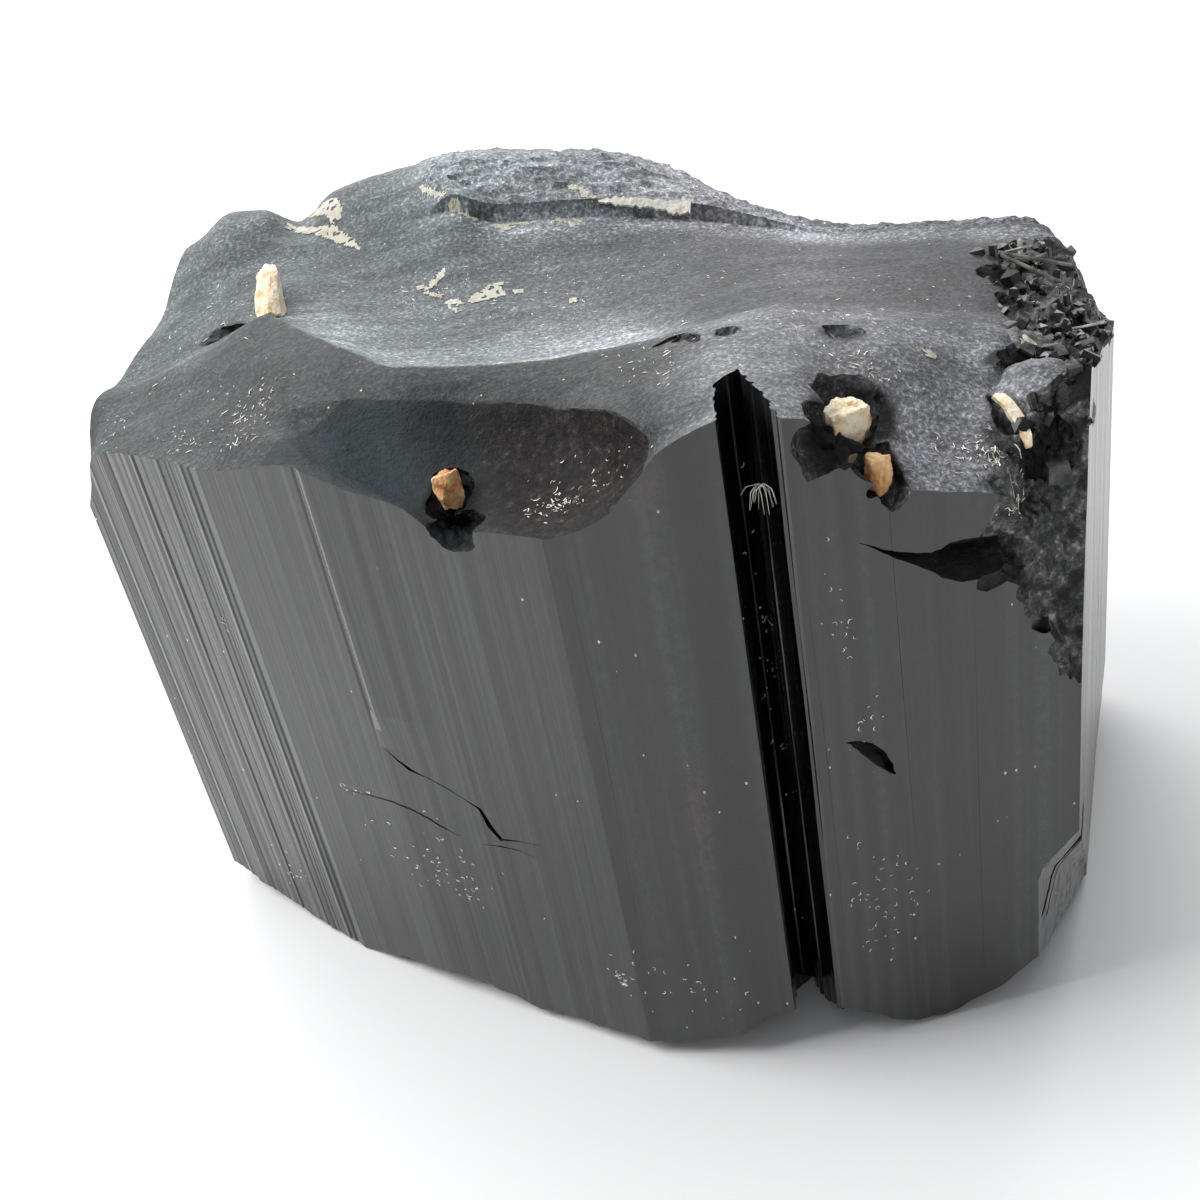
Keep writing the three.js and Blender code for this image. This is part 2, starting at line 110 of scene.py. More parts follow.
# Striations of each face: strip widths from and to, depth, how much of a strip is ramp, tilt

PLAIN_FACE = (0.8, 2.6, 0.02, 0.3, 0.0)
FACE_STRIPS = {
    0: (0.16, 0.9, 0.035, 0.3, 0.05), 1: (1.5, 3.5, 0.008, 0.5, 0.004),
    2: (0.5, 1.6, 0.012, 0.5, 0.01), 3: (0.6, 2.2, 0.01, 0.4, 0.006),
    4: (0.4, 1.2, 0.02, 0.5, 0.0), 5: (0.15, 0.5, 0.07, 0.35, 0.0), 6: (0.15, 0.5, 0.06, 0.35, 0.0),
    7: (0.2, 0.6, 0.09, 0.35, 0.0), 8: (1.0, 4.0, 0.012, 0.3, 0.004), 9: (1.2, 4.0, 0.015, 0.4, 0.0),
}
LEFT_FACE = 0
STEP_FACE = 2
STRIP_ANGLE = math.radians(1.5)
FIRST_STRIPS = {STEP_FACE: 1.1}
LAST_STRIPS = {STEP_FACE - 1: 0.5, LEFT_FACE: 0.9}
STRIP_MARGIN = 0.12
CORNER_MARGIN = 0.05
MOST_DEPTHS = 1.5
LEFT_EDGE = (0.8, -0.035)
STEP_WIDTH = 0.55
STEP_HEIGHT = 0.25
STEP_RISE = (24.6, 28.0)
STEP_FALL = (0.6, 7.0)
NOTCH_WIDTH = 0.2
NOTCH_DEPTH = 0.06

# The broken top as lines from left to right, from the front rim to the back edge: x, y, height

FRONT_RIM = [
    (-41, 5, 35.5), (-37, 3.0, 38.0), (-34.6, 0.9, 43.4), (-29, -4.5, 45.0), (-24.6, -9, 45.3),
    (-21.1, -11.7, 46.3), (-18.2, -14.1, 46.9), (-14.6, -16.6, 45.9), (-11.7, -18.7, 45.2),
    (-9.6, -20.2, 43.6), (-7.1, -21.9, 44.3), (-2.5, -25, 44.7), (-0.1, -25.4, 45.6),
    (2.5, -26.2, 48.3), (3.7, -26.2, 49.5), (8, -26.2, 50.8), (11.4, -26.9, 50.2),
    (12.9, -26.8, 48.5), (14.4, -26.7, 45.6), (18.9, -26.3, 43.6), (23, -26, 42.3),
    (24.2, -25.9, 38.9), (26, -25.7, 32.7), (27.5, -25.6, 27.5), (45, -25.6, 27),
]
SCOOP_FLOOR = [
    (-41, 8, 36.5), (-36.6, 5.5, 40.5), (-34, 3.4, 43.9), (-29, -1, 45.2), (-24, -5.5, 46.2),
    (-19, -10.5, 47.4), (-16.5, -13.5, 46.4), (-13, -15, 44.6), (-9.5, -16.5, 43.6),
    (-6, -18, 43.8), (-2, -20.5, 44.3), (1, -22.5, 45.6), (3.5, -24, 48.4), (6, -24, 49.8),
    (9, -24, 50.8), (12, -23.5, 50.2), (14.5, -23, 48.0), (19, -22.5, 45.4), (22, -22, 44.8),
    (25, -22.5, 44.4), (28.9, -22.4, 46.2), (45, -22.4, 46.0),
]
SCOOP_RIM = [
    (-41, 11, 43.2), (-34, 7, 44.2), (-29, 3, 45.5), (-24, -1.5, 46.6), (-19, -7, 47.6),
    (-14.9, -7.9, 47.9), (-10.9, -10.1, 48.1), (-6.6, -11.3, 47.6), (-1.1, -14.3, 47.5),
    (2, -18.2, 48.4), (3.2, -21, 48.6), (4.4, -22.6, 49.3), (7, -21, 50.4), (9, -20, 50.6),
    (12, -19, 50.2), (15.5, -19, 48.9), (19, -18.5, 48.0), (22, -18, 46.4), (25, -18, 45.2),
    (29, -19, 45.6), (33, -13, 43.4), (36, -8, 41.5), (39, 0, 37.5), (45, 4, 35.0),
]
CREST = [
    (-41, 15, 43.4), (-34, 11, 44.2), (-29, 9, 45.6), (-25, 8.5, 47.0), (-21.3, 8, 48.7),
    (-18.2, 3.2, 49.0), (-14.4, -2.9, 49.2), (-10.9, -7.2, 49.1), (-6.4, -8.0, 48.6),
    (-0.5, -8.7, 48.3), (4.8, -8.7, 48.3), (8.8, -9.5, 49.0), (13, -10, 49.2), (18, -11, 48.2),
    (22, -11, 47.2), (26, -11, 46.2), (29, -11, 45.2), (33, -6, 44.0), (36, -2, 42.5),
    (38, 1, 40.2), (41, 5, 36.6), (45, 8, 35.0),
]
VALLEY_NEAR = [
    (-41, 19, 43.6), (-34, 15, 44.2), (-30, 13, 45.2), (-25, 12, 46.8), (-20, 11, 47.6),
    (-16, 7, 47.4), (-13, 2, 47.1), (-10, -1, 46.9), (-6, -2, 46.6), (-0.5, -2.5, 46.4),
    (5, -3, 46.6), (9, -4, 47.4), (13, -4, 47.6), (18, -4, 47.0), (22, -4, 46.4),
    (26, -4, 45.8), (30, -3, 45.0), (34, -0.5, 44.0), (37, 3, 42.5), (41, 7, 37.2),
    (45, 11, 35.0),
]
VALLEY_FAR = [
    (-41, 23, 43.8), (-34, 20, 44.3), (-30, 18, 45.6), (-25, 17, 47.2), (-20, 16, 47.9),
    (-15, 13, 47.0), (-10, 9, 46.6), (-4, 7, 46.4), (2, 6, 46.2), (8, 5, 46.4),
    (13, 4, 46.4), (18, 4, 46.0), (22, 4, 45.6), (26, 4, 45.2), (30, 4, 44.8),
    (34, 4.5, 44.4), (37, 6, 43.8), (41, 9, 39.0), (45, 13, 36.0),
]
BACK_FOOT = [
    (-41, 26, 44.4), (-34, 25, 44.8), (-30, 24, 46.6), (-25, 23, 48.6), (-21, 23, 48.6),
    (-17, 22, 48.2), (-12, 21, 49.0), (-7, 20, 49.8), (-3, 19, 48.4), (4, 18.5, 47.6),
    (11, 18, 46.2), (17, 15.5, 45.2), (23, 12.5, 44.4), (29, 10.5, 44.4), (34, 8.5, 44.2),
    (37, 8.2, 43.6), (41, 11, 39.5), (45, 15, 36.0),
]
BACK_RIDGE = [
    (-41, 30, 46.0), (-34, 29, 46.5), (-28.7, 28, 48.4), (-25.3, 28, 50.2), (-22.5, 28, 50.2),
    (-20, 28, 48.4), (-16.4, 28, 50.3), (-13.2, 28, 51.0), (-9, 26, 51.4), (-7, 25, 52.2),
    (-2, 25, 51.8), (2, 25, 51.0), (7.7, 25, 49.8), (10.8, 24, 48.2), (14, 22.5, 46.6),
    (17, 21, 45.2), (20.6, 18.5, 44.0), (25, 15.5, 43.6), (30, 12.8, 43.8), (35, 10.4, 44.0),
    (38, 10, 43.6), (45, 17, 36.0),
]
BACK_EDGE = [
    (-41, 33, 46.0), (-28.7, 31.5, 48.3), (-25.3, 31.5, 50.0), (-20, 31.5, 48.0),
    (-16.4, 31.5, 50.0), (-7, 32, 50.8), (1.3, 32, 49.3), (8, 31.5, 48.0), (10.8, 29, 47.6),
    (16.4, 25.2, 44.8), (20.8, 22, 43.2), (24.7, 18.6, 42.7), (29.7, 15, 42.7),
    (35.2, 12, 43.0), (38, 11, 43.2), (45, 19, 36.0),
]

# Stretches of the break from left to right, in millimetres: where a thing rises and falls away

ALWAYS = (-60.0, -59.0, 59.0, 60.0)
NEVER = (59.0, 60.0, 61.0, 62.0)
SCOOP = (-22.0, -17.0, 1.0, 5.0)
PLATE = (-9.0, -6.0, 12.0, 24.0)
PLATE_STEP = 1.3

# Stretches where the break is lighter or darker, and by how much of its usual grey: in front of
# the crest (painted shade), just behind it (painted light), at the plate's foot (a painted
# highlight), on the plateau, the right bench, the plate and the tongue beside the groove, and
# towards the rough corner. The first three paint in the light from behind across the crest.

LEFT_HALF = (4, 10)
FRONT_PAINTED_SHADE = (-0.52, -0.25)
BAND = (5.0, 13.0)
BAND_PAINTED_LIGHT = 0.85
FOOT_WIDTH = 2.2
FOOT_PAINTED_HIGHLIGHT = 1.4
PLATEAU_TONE = -0.55
BENCH_TONE = 0.35
PLATE_TONE = 0.95
TONGUE = (3, 5, 8, 11)
TONGUE_TONE = 0.7
DIM_TONE = -0.4

# Heights of the fine relief of the break, of the plate and of the scoop

BROAD_RELIEF = 0.10
FINE_RELIEF = 0.04
PLATE_RELIEF = (0.32, 0.12)
SCOOP_RELIEF = 0.10

# Edges of the rough corner and of the dark hollow on the plan, as y and x

DRUSE_EDGE = [
    (-26, 21.6), (-24, 22.3), (-21, 23.4), (-17, 25.0), (-13, 27.2), (-9, 28.6), (-3, 29.8),
    (2, 31.2), (8, 33.0),
]
SCOOP_LEFT = [(-13, -20.6), (-12, -20.2), (-10.9, -19), (-9.4, -17.9), (-8.7, -16.4), (-8.0, -14.9)]
SCOOP_RIGHT = [(-26, 2.6), (-22.2, 3.5), (-20.2, 2.8), (-18, 1.9), (-16, 0.9)]

# Each line, how far the break sags between it and the next, rows up to the next, and the
# stretch over which the line is a sharp crease

TOP_LINES = [
    (FRONT_RIM, 0.0, 22, ALWAYS), (SCOOP_FLOOR, 0.9, 14, NEVER),
    (SCOOP_RIM, -0.2, 18, (-20.5, -17.5, 2.5, 4.5)), (CREST, 0.35, 18, (-24.0, -21.0, 5.0, 12.0)),
    (VALLEY_NEAR, 0.2, 22, NEVER), (VALLEY_FAR, 0.4, 30, NEVER), (BACK_FOOT, 0.0, 20, ALWAYS),
    (BACK_RIDGE, 0.0, 12, NEVER), (BACK_EDGE, 0.0, 1, ALWAYS),
]

# Height of the chipped lower rim by the angle about the centre, in degrees

LOWER_RIM = [
    (-180, 1.6), (-170, 0.4), (-158, 0.2), (-150, 1.2), (-138, 1.8), (-125, 1.0), (-110, 1.1),
    (-97, 1.4), (-90, 2.2), (-80, 3.9), (-74, 3.9), (-68, 1.2), (-62, 0.0), (-55, 1.9),
    (-49, 5.0), (-44, 4.0), (-36, 1.4), (-28, 0.8), (-15, 4.0), (0, 3.8), (20, 2.5), (45, 1.2),
    (70, 2.8), (95, 1.4), (120, 2.6), (140, 3.4), (160, 1.5), (180, 1.8),
]

# Pits in the break and the walls, painted near-black inside as painted shade, and the lump on the right
# corner: middle and three radii

PITS = [
    ((-8.8, -16.2, 43.8), (1.7, 2.0, 2.2)), ((-8.5, -19.2, 43.9), (1.5, 2.4, 1.5)),
    ((15.2, -22.2, 47.6), (2.9, 2.3, 2.4)), ((15.7, -25.4, 44.8), (1.5, 1.9, 2.0)),
    ((13.9, -25.6, 47.9), (2.7, 2.9, 2.7)),
    ((9.7, -13.6, 50.2), (0.9, 0.9, 0.8)), ((6.4, -10.9, 49.0), (1.1, 0.5, 0.5)),
    ((7.2, -11.7, 49.4), (0.75, 0.8, 0.6)), ((7.7, -12.9, 49.8), (0.45, 1.2, 0.6)),
    ((16.4, -15.2, 49.2), (1.5, 1.1, 0.9)), ((-25.8, 11.4, 46.9), (2.3, 1.1, 1.0)),
    ((-23.2, 9.3, 48.1), (2.2, 1.1, 1.0)), ((27.2, -15.9, 45.5), (2.3, 1.0, 1.1)),
    ((25.5, -23.2, 42.6), (1.0, 1.5, 1.8)), ((24.6, -20.6, 44.8), (1.0, 2.0, 1.2)),
    ((27.3, -22.9, 43.0), (1.0, 1.0, 1.5)),
    ((32.4, -0.9, 45.3), (3.0, 1.9, 1.6)), ((30.4, -6.2, 45.3), (1.6, 1.5, 1.4)),
    ((31.4, -10.6, 44.6), (1.5, 1.4, 1.2)), ((34.3, -7.6, 42.9), (1.2, 1.5, 1.3)),
    ((29.4, -15.4, 45.0), (1.1, 1.2, 1.2)),
]
LUMPS = [((27.4, -18.4, 43.0), (2.8, 2.6, 2.7))]

# Rough hollows where the corner of small crystals breaks through the right front

ROUGH_CHIPS = [
    ((24.2, -26.6, 38.8), (3.0, 1.7, 3.6)), ((25.2, -26.3, 35.0), (2.5, 1.3, 3.3)),
    ((26.8, -26.1, 31.0), (1.5, 1.1, 3.6)), ((22.9, -26.3, 38.6), (1.7, 1.2, 2.3)),
]

# Flat sides of the chip at the foot of the right corner, each a point and a way out of the chip

LOWER_MIDDLE = (32.0, -24.0, 2.0)
LOWER_ROUGHNESS = 0.08
LOWER_CHIP = [
    ((24.4, -26.0, 12.0), (-1.2, 1.9, 1.0)), ((24.2, -26.4, 5.0), (-0.8, 0.6, 0.0)),
    ((33.0, -16.0, 2.0), (-0.4, 1.0, 0.0)), ((30.0, -30.0, 5.0), (0.0, -1.0, 0.0)),
    ((38.0, -22.0, 5.0), (1.0, 0.0, 0.0)), ((28.0, -24.0, -6.0), (0.0, 0.0, -1.0)),
]

# Paths on the walls as x, height and half width: the crack across the left front with two dull
# smears under it, the black curved chip under the right bench, hairlines along the prism, the scar
# beside the groove and the splits at the foot of the right corner

CRACK = [
    (-17.7, 24.4, 0.05), (-17.0, 23.6, 0.16), (-16.3, 23.0, 0.24), (-15.2, 22.7, 0.08),
    (-13.7, 22.0, 0.11), (-12.9, 21.5, 0.07), (-11.9, 20.9, 0.2), (-11.5, 19.4, 0.3),
    (-10.9, 18.4, 0.26), (-9.8, 18.7, 0.1), (-8.2, 18.9, 0.04),
]
SWOOP = [
    (13.9, 41.6, 0.03), (14.6, 41.2, 0.1), (15.4, 40.6, 0.2), (16.2, 40.1, 0.36),
    (17.2, 39.6, 0.52), (18.0, 39.2, 0.72), (18.6, 39.0, 0.98), (19.1, 38.9, 1.35),
    (20.2, 38.6, 1.62), (21.4, 38.5, 1.6), (22.6, 38.5, 1.5), (23.4, 38.5, 1.2),
]
SMEARS = [
    [(-22.0, 18.7, 0.05), (-20.5, 19.0, 0.2), (-18.5, 19.2, 0.24), (-17.2, 19.0, 0.28),
     (-15.9, 18.5, 0.28), (-14.8, 17.9, 0.2), (-13.9, 17.6, 0.05)],
    [(-12.4, 17.4, 0.04), (-11.0, 17.7, 0.2), (-9.8, 17.8, 0.12), (-8.6, 17.5, 0.04)],
]
HAIRLINES = [
    [(-2.6, 42.5, 0.02), (-2.5, 30.0, 0.05), (-2.7, 13.0, 0.02)],
    [(15.9, 44.0, 0.04), (16.0, 32.0, 0.07), (16.2, 17.0, 0.02)],
    [(10.75, 38.5, 0.03), (10.9, 27.0, 0.07), (10.9, 12.0, 0.03)],
    [(20.7, 35.0, 0.02), (20.6, 20.0, 0.06), (20.6, 4.0, 0.03)],
    [(32.2, 35.0, 0.03), (34.5, 24.2, 0.1), (36.6, 14.9, 0.1), (38.4, 6.9, 0.03)],
]
SCAR = [
    (12.2, 27.4, 0.1), (12.8, 27.1, 0.45), (13.5, 26.5, 0.7), (14.2, 25.6, 0.75),
    (14.8, 24.6, 0.5), (15.2, 23.9, 0.12),
]
SPLITS = [
    [(25.1, 7.0, 0.22), (26.9, 9.6, 0.36), (28.4, 12.4, 0.36), (29.2, 13.8, 0.3)],
    [(25.7, 6.2, 0.14), (27.2, 8.6, 0.2), (28.7, 11.4, 0.2), (29.5, 12.8, 0.14)],
]

# Each cut's paths, how deep they go and which surface they leave

WALL_CUTS = [
    ([CRACK], 0.7, BREAK), ([SWOOP], 1.9, BREAK), ([SCAR], 0.8, FACE), (SPLITS, 5.0, BREAK),
    (SMEARS, 0.22, BREAK), (HAIRLINES, 0.08, FACE),
]

# Small crystals on the right corner: foot, radius, length, lean and its direction in degrees

SMALL_CRYSTALS = [
    (33.0, -6.8, 42.6, 1.0, 1.9, 24, -140), (30.8, -10.8, 43.4, 0.9, 1.7, 30, 100),
    (29.4, -14.6, 43.8, 1.0, 1.8, 22, -110), (34.2, -2.6, 42.6, 0.9, 1.7, 34, 160),
    (31.8, -2.0, 43.9, 1.0, 1.6, 18, 150), (35.4, 1.2, 42.6, 0.9, 1.8, 20, 200),
    (27.8, -18.6, 44.2, 0.9, 1.7, 30, -100), (33.0, 3.0, 43.9, 0.9, 1.5, 26, 130),
    (29.4, -7.0, 44.2, 0.8, 1.6, 30, 200), (35.9, 4.2, 43.0, 0.8, 1.6, 14, 180),
    (25.6, -21.0, 43.6, 0.9, 1.6, 30, -120), (28.6, -11.2, 44.2, 0.8, 1.5, 20, 120),
    (33.0, -9.6, 41.9, 0.8, 1.6, 26, -160), (30.6, 2.0, 44.3, 0.8, 1.5, 24, 100),
]

# Needles as two ends and a radius, and where and how many crystals and blocks are sown

NEEDLES = [
    ((31.3, 0.7, 45.5), (35.9, -0.9, 44.2), 0.16), ((31.4, 0.4, 45.4), (34.7, -1.9, 43.6), 0.15),
    ((31.5, 0.6, 45.4), (33.1, 1.0, 45.3), 0.15), ((33.0, 0.8, 44.7), (33.3, 2.0, 45.4), 0.2),
    ((33.2, -8.4, 43.0), (34.9, -9.6, 43.6), 0.12), ((28.6, -13.2, 44.6), (29.8, -14.6, 45.3), 0.12),
]
CRYSTALLETS = 80
BLOCKS = 60
SOWN_ACROSS = (21.5, 39.0)
SOWN_BACK = (-24.5, 6.5)
SOWN_ABOVE = 31
LUMP_ROOM = 1.4
BLADE_ROOM = 1.2
CRYSTALLET_RADII = (0.16, 0.42)
BLOCK_SIZES = (0.25, 0.7)

# Feldspar grains: middle, three radii, lean about X, turn about Z and seed

GRAINS = {
    "feldspar_grain_front": ((-8.9, -15.7, 44.2), (1.15, 1.1, 1.75), 0, 20, 3),
    "feldspar_grain_right": ((14.7, -22.7, 46.8), (1.8, 1.6, 2.4), 0, 8, 5),
    "feldspar_chip_orange": ((15.7, -25.2, 44.9), (0.9, 0.9, 1.6), 0, 35, 8),
    "feldspar_grain_left": ((-21.1, 11.8, 48.6), (1.4, 4.3, 1.6), 14, 4, 4),
}
ORANGE_GRAINS = ("feldspar_grain_front", "feldspar_chip_orange")

# Ribbons of feldspar as x, y, height and half width: the curved blade and the pale strip along
# the step of the back plate

BLADE = [
    (24.2, -19.6, 45.3, 0.12), (24.55, -20.0, 45.25, 0.3), (24.8, -20.5, 45.0, 0.34),
    (25.0, -21.1, 44.55, 0.34), (25.15, -21.8, 44.15, 0.33), (25.2, -22.4, 43.75, 0.3),
    (25.2, -22.9, 43.3, 0.14),
]
STRIP = [
    (5.0, 18.5, 48.65, 0.1), (6.0, 18.3, 48.55, 0.28), (7.5, 18.1, 48.25, 0.33),
    (9.0, 18.0, 47.85, 0.33), (10.4, 17.9, 47.4, 0.42), (11.4, 17.8, 47.15, 0.7),
    (12.1, 17.7, 47.0, 0.66),
]
RIBBON_FACING = Vector((0.0, -0.75, 0.66))

# Thin cream feldspar films on the break: plan outlines

FILMS = [
    [(-20.8, 28.4), (-20.7, 26.5), (-18.6, 24.6), (-17.3, 23.2), (-15.9, 21.6), (-15.2, 20.9),
     (-14.3, 19.8), (-15.0, 21.8), (-16.1, 23.4), (-16.4, 24.2), (-17.6, 24.9), (-18.2, 25.2),
     (-19.2, 26.6)],
    [(-19.0, 29.8), (-17.8, 28.8), (-16.0, 27.4), (-15.6, 25.4), (-16.0, 24.4), (-16.6, 24.4),
     (-17.2, 26.0), (-18.1, 27.1), (-19.0, 28.4)],
    [(-10.3, 12.3), (-9.0, 12.4), (-7.6, 13.8), (-7.9, 12.7), (-9.0, 11.5), (-10.0, 11.7)],
    [(-9.8, 11.5), (-9.1, 11.0), (-8.1, 10.1), (-8.3, 9.6), (-9.2, 10.6)],
    [(-6.3, 8.6), (-5.5, 9.3), (-4.9, 9.8), (-4.1, 10.4), (-3.5, 10.3), (-3.7, 9.3), (-3.4, 8.1),
     (-4.7, 7.9), (-6.3, 8.0)],
    [(-2.9, 8.9), (-2.0, 8.8), (-2.1, 8.2), (-2.9, 8.2)],
    [(-8.0, 9.1), (-6.7, 8.9), (-6.8, 8.1), (-7.2, 7.8), (-7.2, 6.7), (-7.8, 7.8)],
    [(1.0, 5.7), (1.7, 5.7), (1.6, 4.9), (1.0, 4.9)],
    [(2.9, 20.8), (3.8, 20.4), (5.0, 19.1), (4.6, 18.7), (3.8, 19.2), (3.0, 20.1)],
    [(-8.9, 23.6), (-8.4, 22.4), (-7.6, 21.0), (-6.7, 19.9), (-5.7, 19.2), (-4.4, 18.6),
     (-4.4, 19.0), (-5.6, 19.6), (-6.5, 20.3), (-7.4, 21.4), (-8.2, 22.8), (-8.7, 24.0)],
    [(-3.4, 18.3), (-2.6, 17.8), (-1.3, 18.2), (0.1, 18.4), (0.1, 18.7), (-1.3, 18.6), (-3.2, 18.5)],
    [(1.0, 18.3), (2.0, 18.0), (2.5, 17.2), (3.4, 17.6), (3.3, 18.0), (2.5, 17.8), (1.6, 18.6)],
    [(20.8, -16.6), (21.3, -15.9), (21.9, -16.3), (21.5, -17.0)],
    [(27.6, -13.9), (28.3, -13.3), (28.9, -13.9), (28.2, -14.5)],
]
FILM_CELL = 0.2
FILM_THICKNESS = 0.14
FILM_LIFT = 0.06
FILM_JITTER = 0.35

# Clusters of bright slivers: middle and reach, on the plan or as x and height on the walls, how many

SLIVER_FIELDS = [
    ((-21.5, -5.8), (2.2, 3.6), 90), ((-26.5, -4.2), (1.8, 1.6), 30), ((-33.0, 3.0), (1.5, 2.5), 14),
    ((22.4, -23.6), (2.3, 1.5), 90), ((16.5, -19.0), (1.8, 1.6), 26), ((1.0, -20.5), (1.6, 2.2), 18),
    ((-3.0, -18.5), (4.0, 3.0), 16), ((-8.0, 11.0), (3.6, 3.6), 60), ((-25.0, 14.0), (7.0, 9.0), 50),
    ((-2.5, -20.5), (2.0, 1.2), 60), ((2.0, 4.0), (12.0, 9.0), 90),
    ((15.0, -12.0), (8.0, 6.0), 60), ((33.0, -6.0), (4.0, 9.0), 60), ((4.5, -14.0), (2.5, 4.5), 40),
]
WALL_FIELDS = [
    ((12.4, 37.0), (1.2, 5.0), 16), ((14.0, 28.6), (1.0, 2.0), 9), ((13.2, 13.0), (3.0, 5.0), 50),
    ((-16.0, 13.5), (5.5, 4.5), 50), ((-21.5, 19.0), (1.4, 0.6), 8), ((-30.4, 5.6), (1.6, 2.4), 14),
    ((-27.6, 32.0), (0.6, 0.8), 3), ((-4.7, 7.4), (0.9, 1.6), 16), ((8.8, 30.0), (0.8, 14.0), 22),
    ((23.6, 40.8), (1.2, 0.5), 12), ((-1.0, 8.0), (6.0, 4.0), 24),
]
SLIVER_REACH = (0.08, 0.34)
WALL_SLIVER_REACH = (0.06, 0.26)
SLIVER_PLACES = (-1.0, -0.3, 0.3, 1.0)
SLIVERS_ABOVE = 38
SLIVER_LIFT = 0.03
WALL_SLIVER_LIFT = 0.02
SLIVER_RADII = (0.018, 0.045)
WALL_SLIVER_RADII = (0.018, 0.04)
TUFT_RADII = (0.01, 0.022)
TUFT_FOOT = (9.0, -26.4, 46.4)
TUFT_COUNT = 14


def place(x, y, z):
    """A point on the plan, in millimetres, as a point of the frame in metres."""
    return Vector((x - CENTRE.x, y - CENTRE.y, z)) * MM


def smoothstep(low, high, value):
    t = np.clip((np.asarray(value, float) - low) / (high - low), 0.0, 1.0)
    return t * t * (3.0 - 2.0 * t)


def between(stretch, value):
    """A share that rises from 0 to 1 over one stretch and falls back over another."""
    return smoothstep(stretch[0], stretch[1], value) * (1 - smoothstep(stretch[2], stretch[3], value))


def read(line, at):
    """The second value of a line of pairs, at a place along its first values."""
    return np.interp(at, *zip(*line))


def link(mesh, name):
    piece = bpy.data.objects.new(name, mesh)
    bpy.context.scene.collection.objects.link(piece)
    return piece


# Curves through the feature lines


def slopes(keys, values):
    """Slopes of a smooth curve through the points that never overshoots them."""
    secants = np.diff(values) / np.diff(keys)
    inner = np.where(
        secants[:-1] * secants[1:] > 0,
        2 * secants[:-1] * secants[1:] / (secants[:-1] + secants[1:] + 1e-12), 0.0)
    return np.concatenate(([secants[0]], inner, [secants[-1]]))


def cubic(t, span, start, end, rise, fall):
    """A cubic curve between two values, with its slopes at the start and at the end."""
    return ((1 + 2 * t) * (1 - t) ** 2 * start + t * (1 - t) ** 2 * span * rise
            + t * t * (3 - 2 * t) * end + t * t * (t - 1) * span * fall)


def hermite(line, column, at):
    """A smooth curve through one column of a feature line, read at places from left to right."""
    keys = np.array([p[0] for p in line], float)
    values = np.array([p[column] for p in line], float)
    m = slopes(keys, values)
    at = np.clip(at, keys[0], keys[-1])
    k = np.clip(np.searchsorted(keys, at, side="right") - 1, 0, len(keys) - 2)
    span = keys[k + 1] - keys[k]
    return cubic((at - keys[k]) / span, span, values[k], values[k + 1], m[k], m[k + 1])


def top_rows(xs):
    """Rows of the broken top over the columns xs: arrays of y and of height, front to back."""
    ys = [hermite(line, 1, xs) for line, *_ in TOP_LINES]
    zs = [hermite(line, 2, xs) for line, *_ in TOP_LINES]
    plate = PLATE_STEP * between(PLATE, xs)
    bands = range(len(TOP_LINES) - 1)
    spans = [ys[k + 1] - ys[k] for k in bands]
    rises = [(zs[k + 1] - zs[k]) / spans[k] for k in bands]
    starts, ends = [], []
    for k in bands:
        line, sag = TOP_LINES[k][:2]
        hollow = sag * (between(SCOOP, xs) if line is SCOOP_FLOOR else 1.0)
        starts.append(rises[k] - 4 * hollow / spans[k])
        ends.append(rises[k] + 4 * hollow / spans[k])
    for k in bands[1:]:
        crease = between(TOP_LINES[k][3], xs)
        mean = 0.5 * (ends[k - 1] + starts[k])
        ends[k - 1] = mean + crease * (ends[k - 1] - mean)
        starts[k] = mean + crease * (starts[k] - mean)
    rows_y, rows_z = [], []
    for k in bands:
        rows = TOP_LINES[k][2]
        for r in range(rows):
            t = r / rows
            lift = 0.0
            if TOP_LINES[k][0] is BACK_FOOT:
                lift = plate * (1 - t) * smoothstep(0.0, 0.04, t)
            rows_y.append(ys[k] + t * spans[k])
            rows_z.append(cubic(t, spans[k], zs[k], zs[k + 1], starts[k], ends[k]) + lift)
    rows_y.append(ys[-1])
    rows_z.append(zs[-1])
    rows_y.insert(0, rows_y[0] - OUTSIDE)
    rows_z.insert(0, rows_z[0])
    rows_y.append(rows_y[-1] + OUTSIDE)
    rows_z.append(rows_z[-1])
    return np.array(rows_y), np.array(rows_z)


# Zones of the break, each a share from 0 to 1 at places on the plan


def before_right_rim(x, y):
    """How far a place lies left of the right front corner's edge."""
    return RIGHT_RIM[0] + (y - RIGHT_RIM[1]) * RIGHT_RIM[2] - x


def druse_zone(x, y):
    """The corner of small crystals, right of the smooth break."""
    return smoothstep(-0.5, 1.1, x - read(DRUSE_EDGE, y)) * (1 - smoothstep(4, 8, y))


def plate_zone(x, y):
    """The rough plate along the back."""
    return smoothstep(0.1, 0.8, y - hermite(BACK_FOOT, 1, x)) * smoothstep(-10, -7, x)


def scoop_zone(x, y):
    """The dark hollow at the front, left of the groove."""
    front = hermite(FRONT_RIM, 1, x)
    share = (y - front) / (hermite(SCOOP_RIM, 1, x) - front)
    sides = smoothstep(-0.3, 0.3, x - read(SCOOP_LEFT, y)), smoothstep(-0.3, 0.3, read(SCOOP_RIGHT, y) - x)
    return (1 - smoothstep(0.95, 1.05, share)) * sides[0] * sides[1]


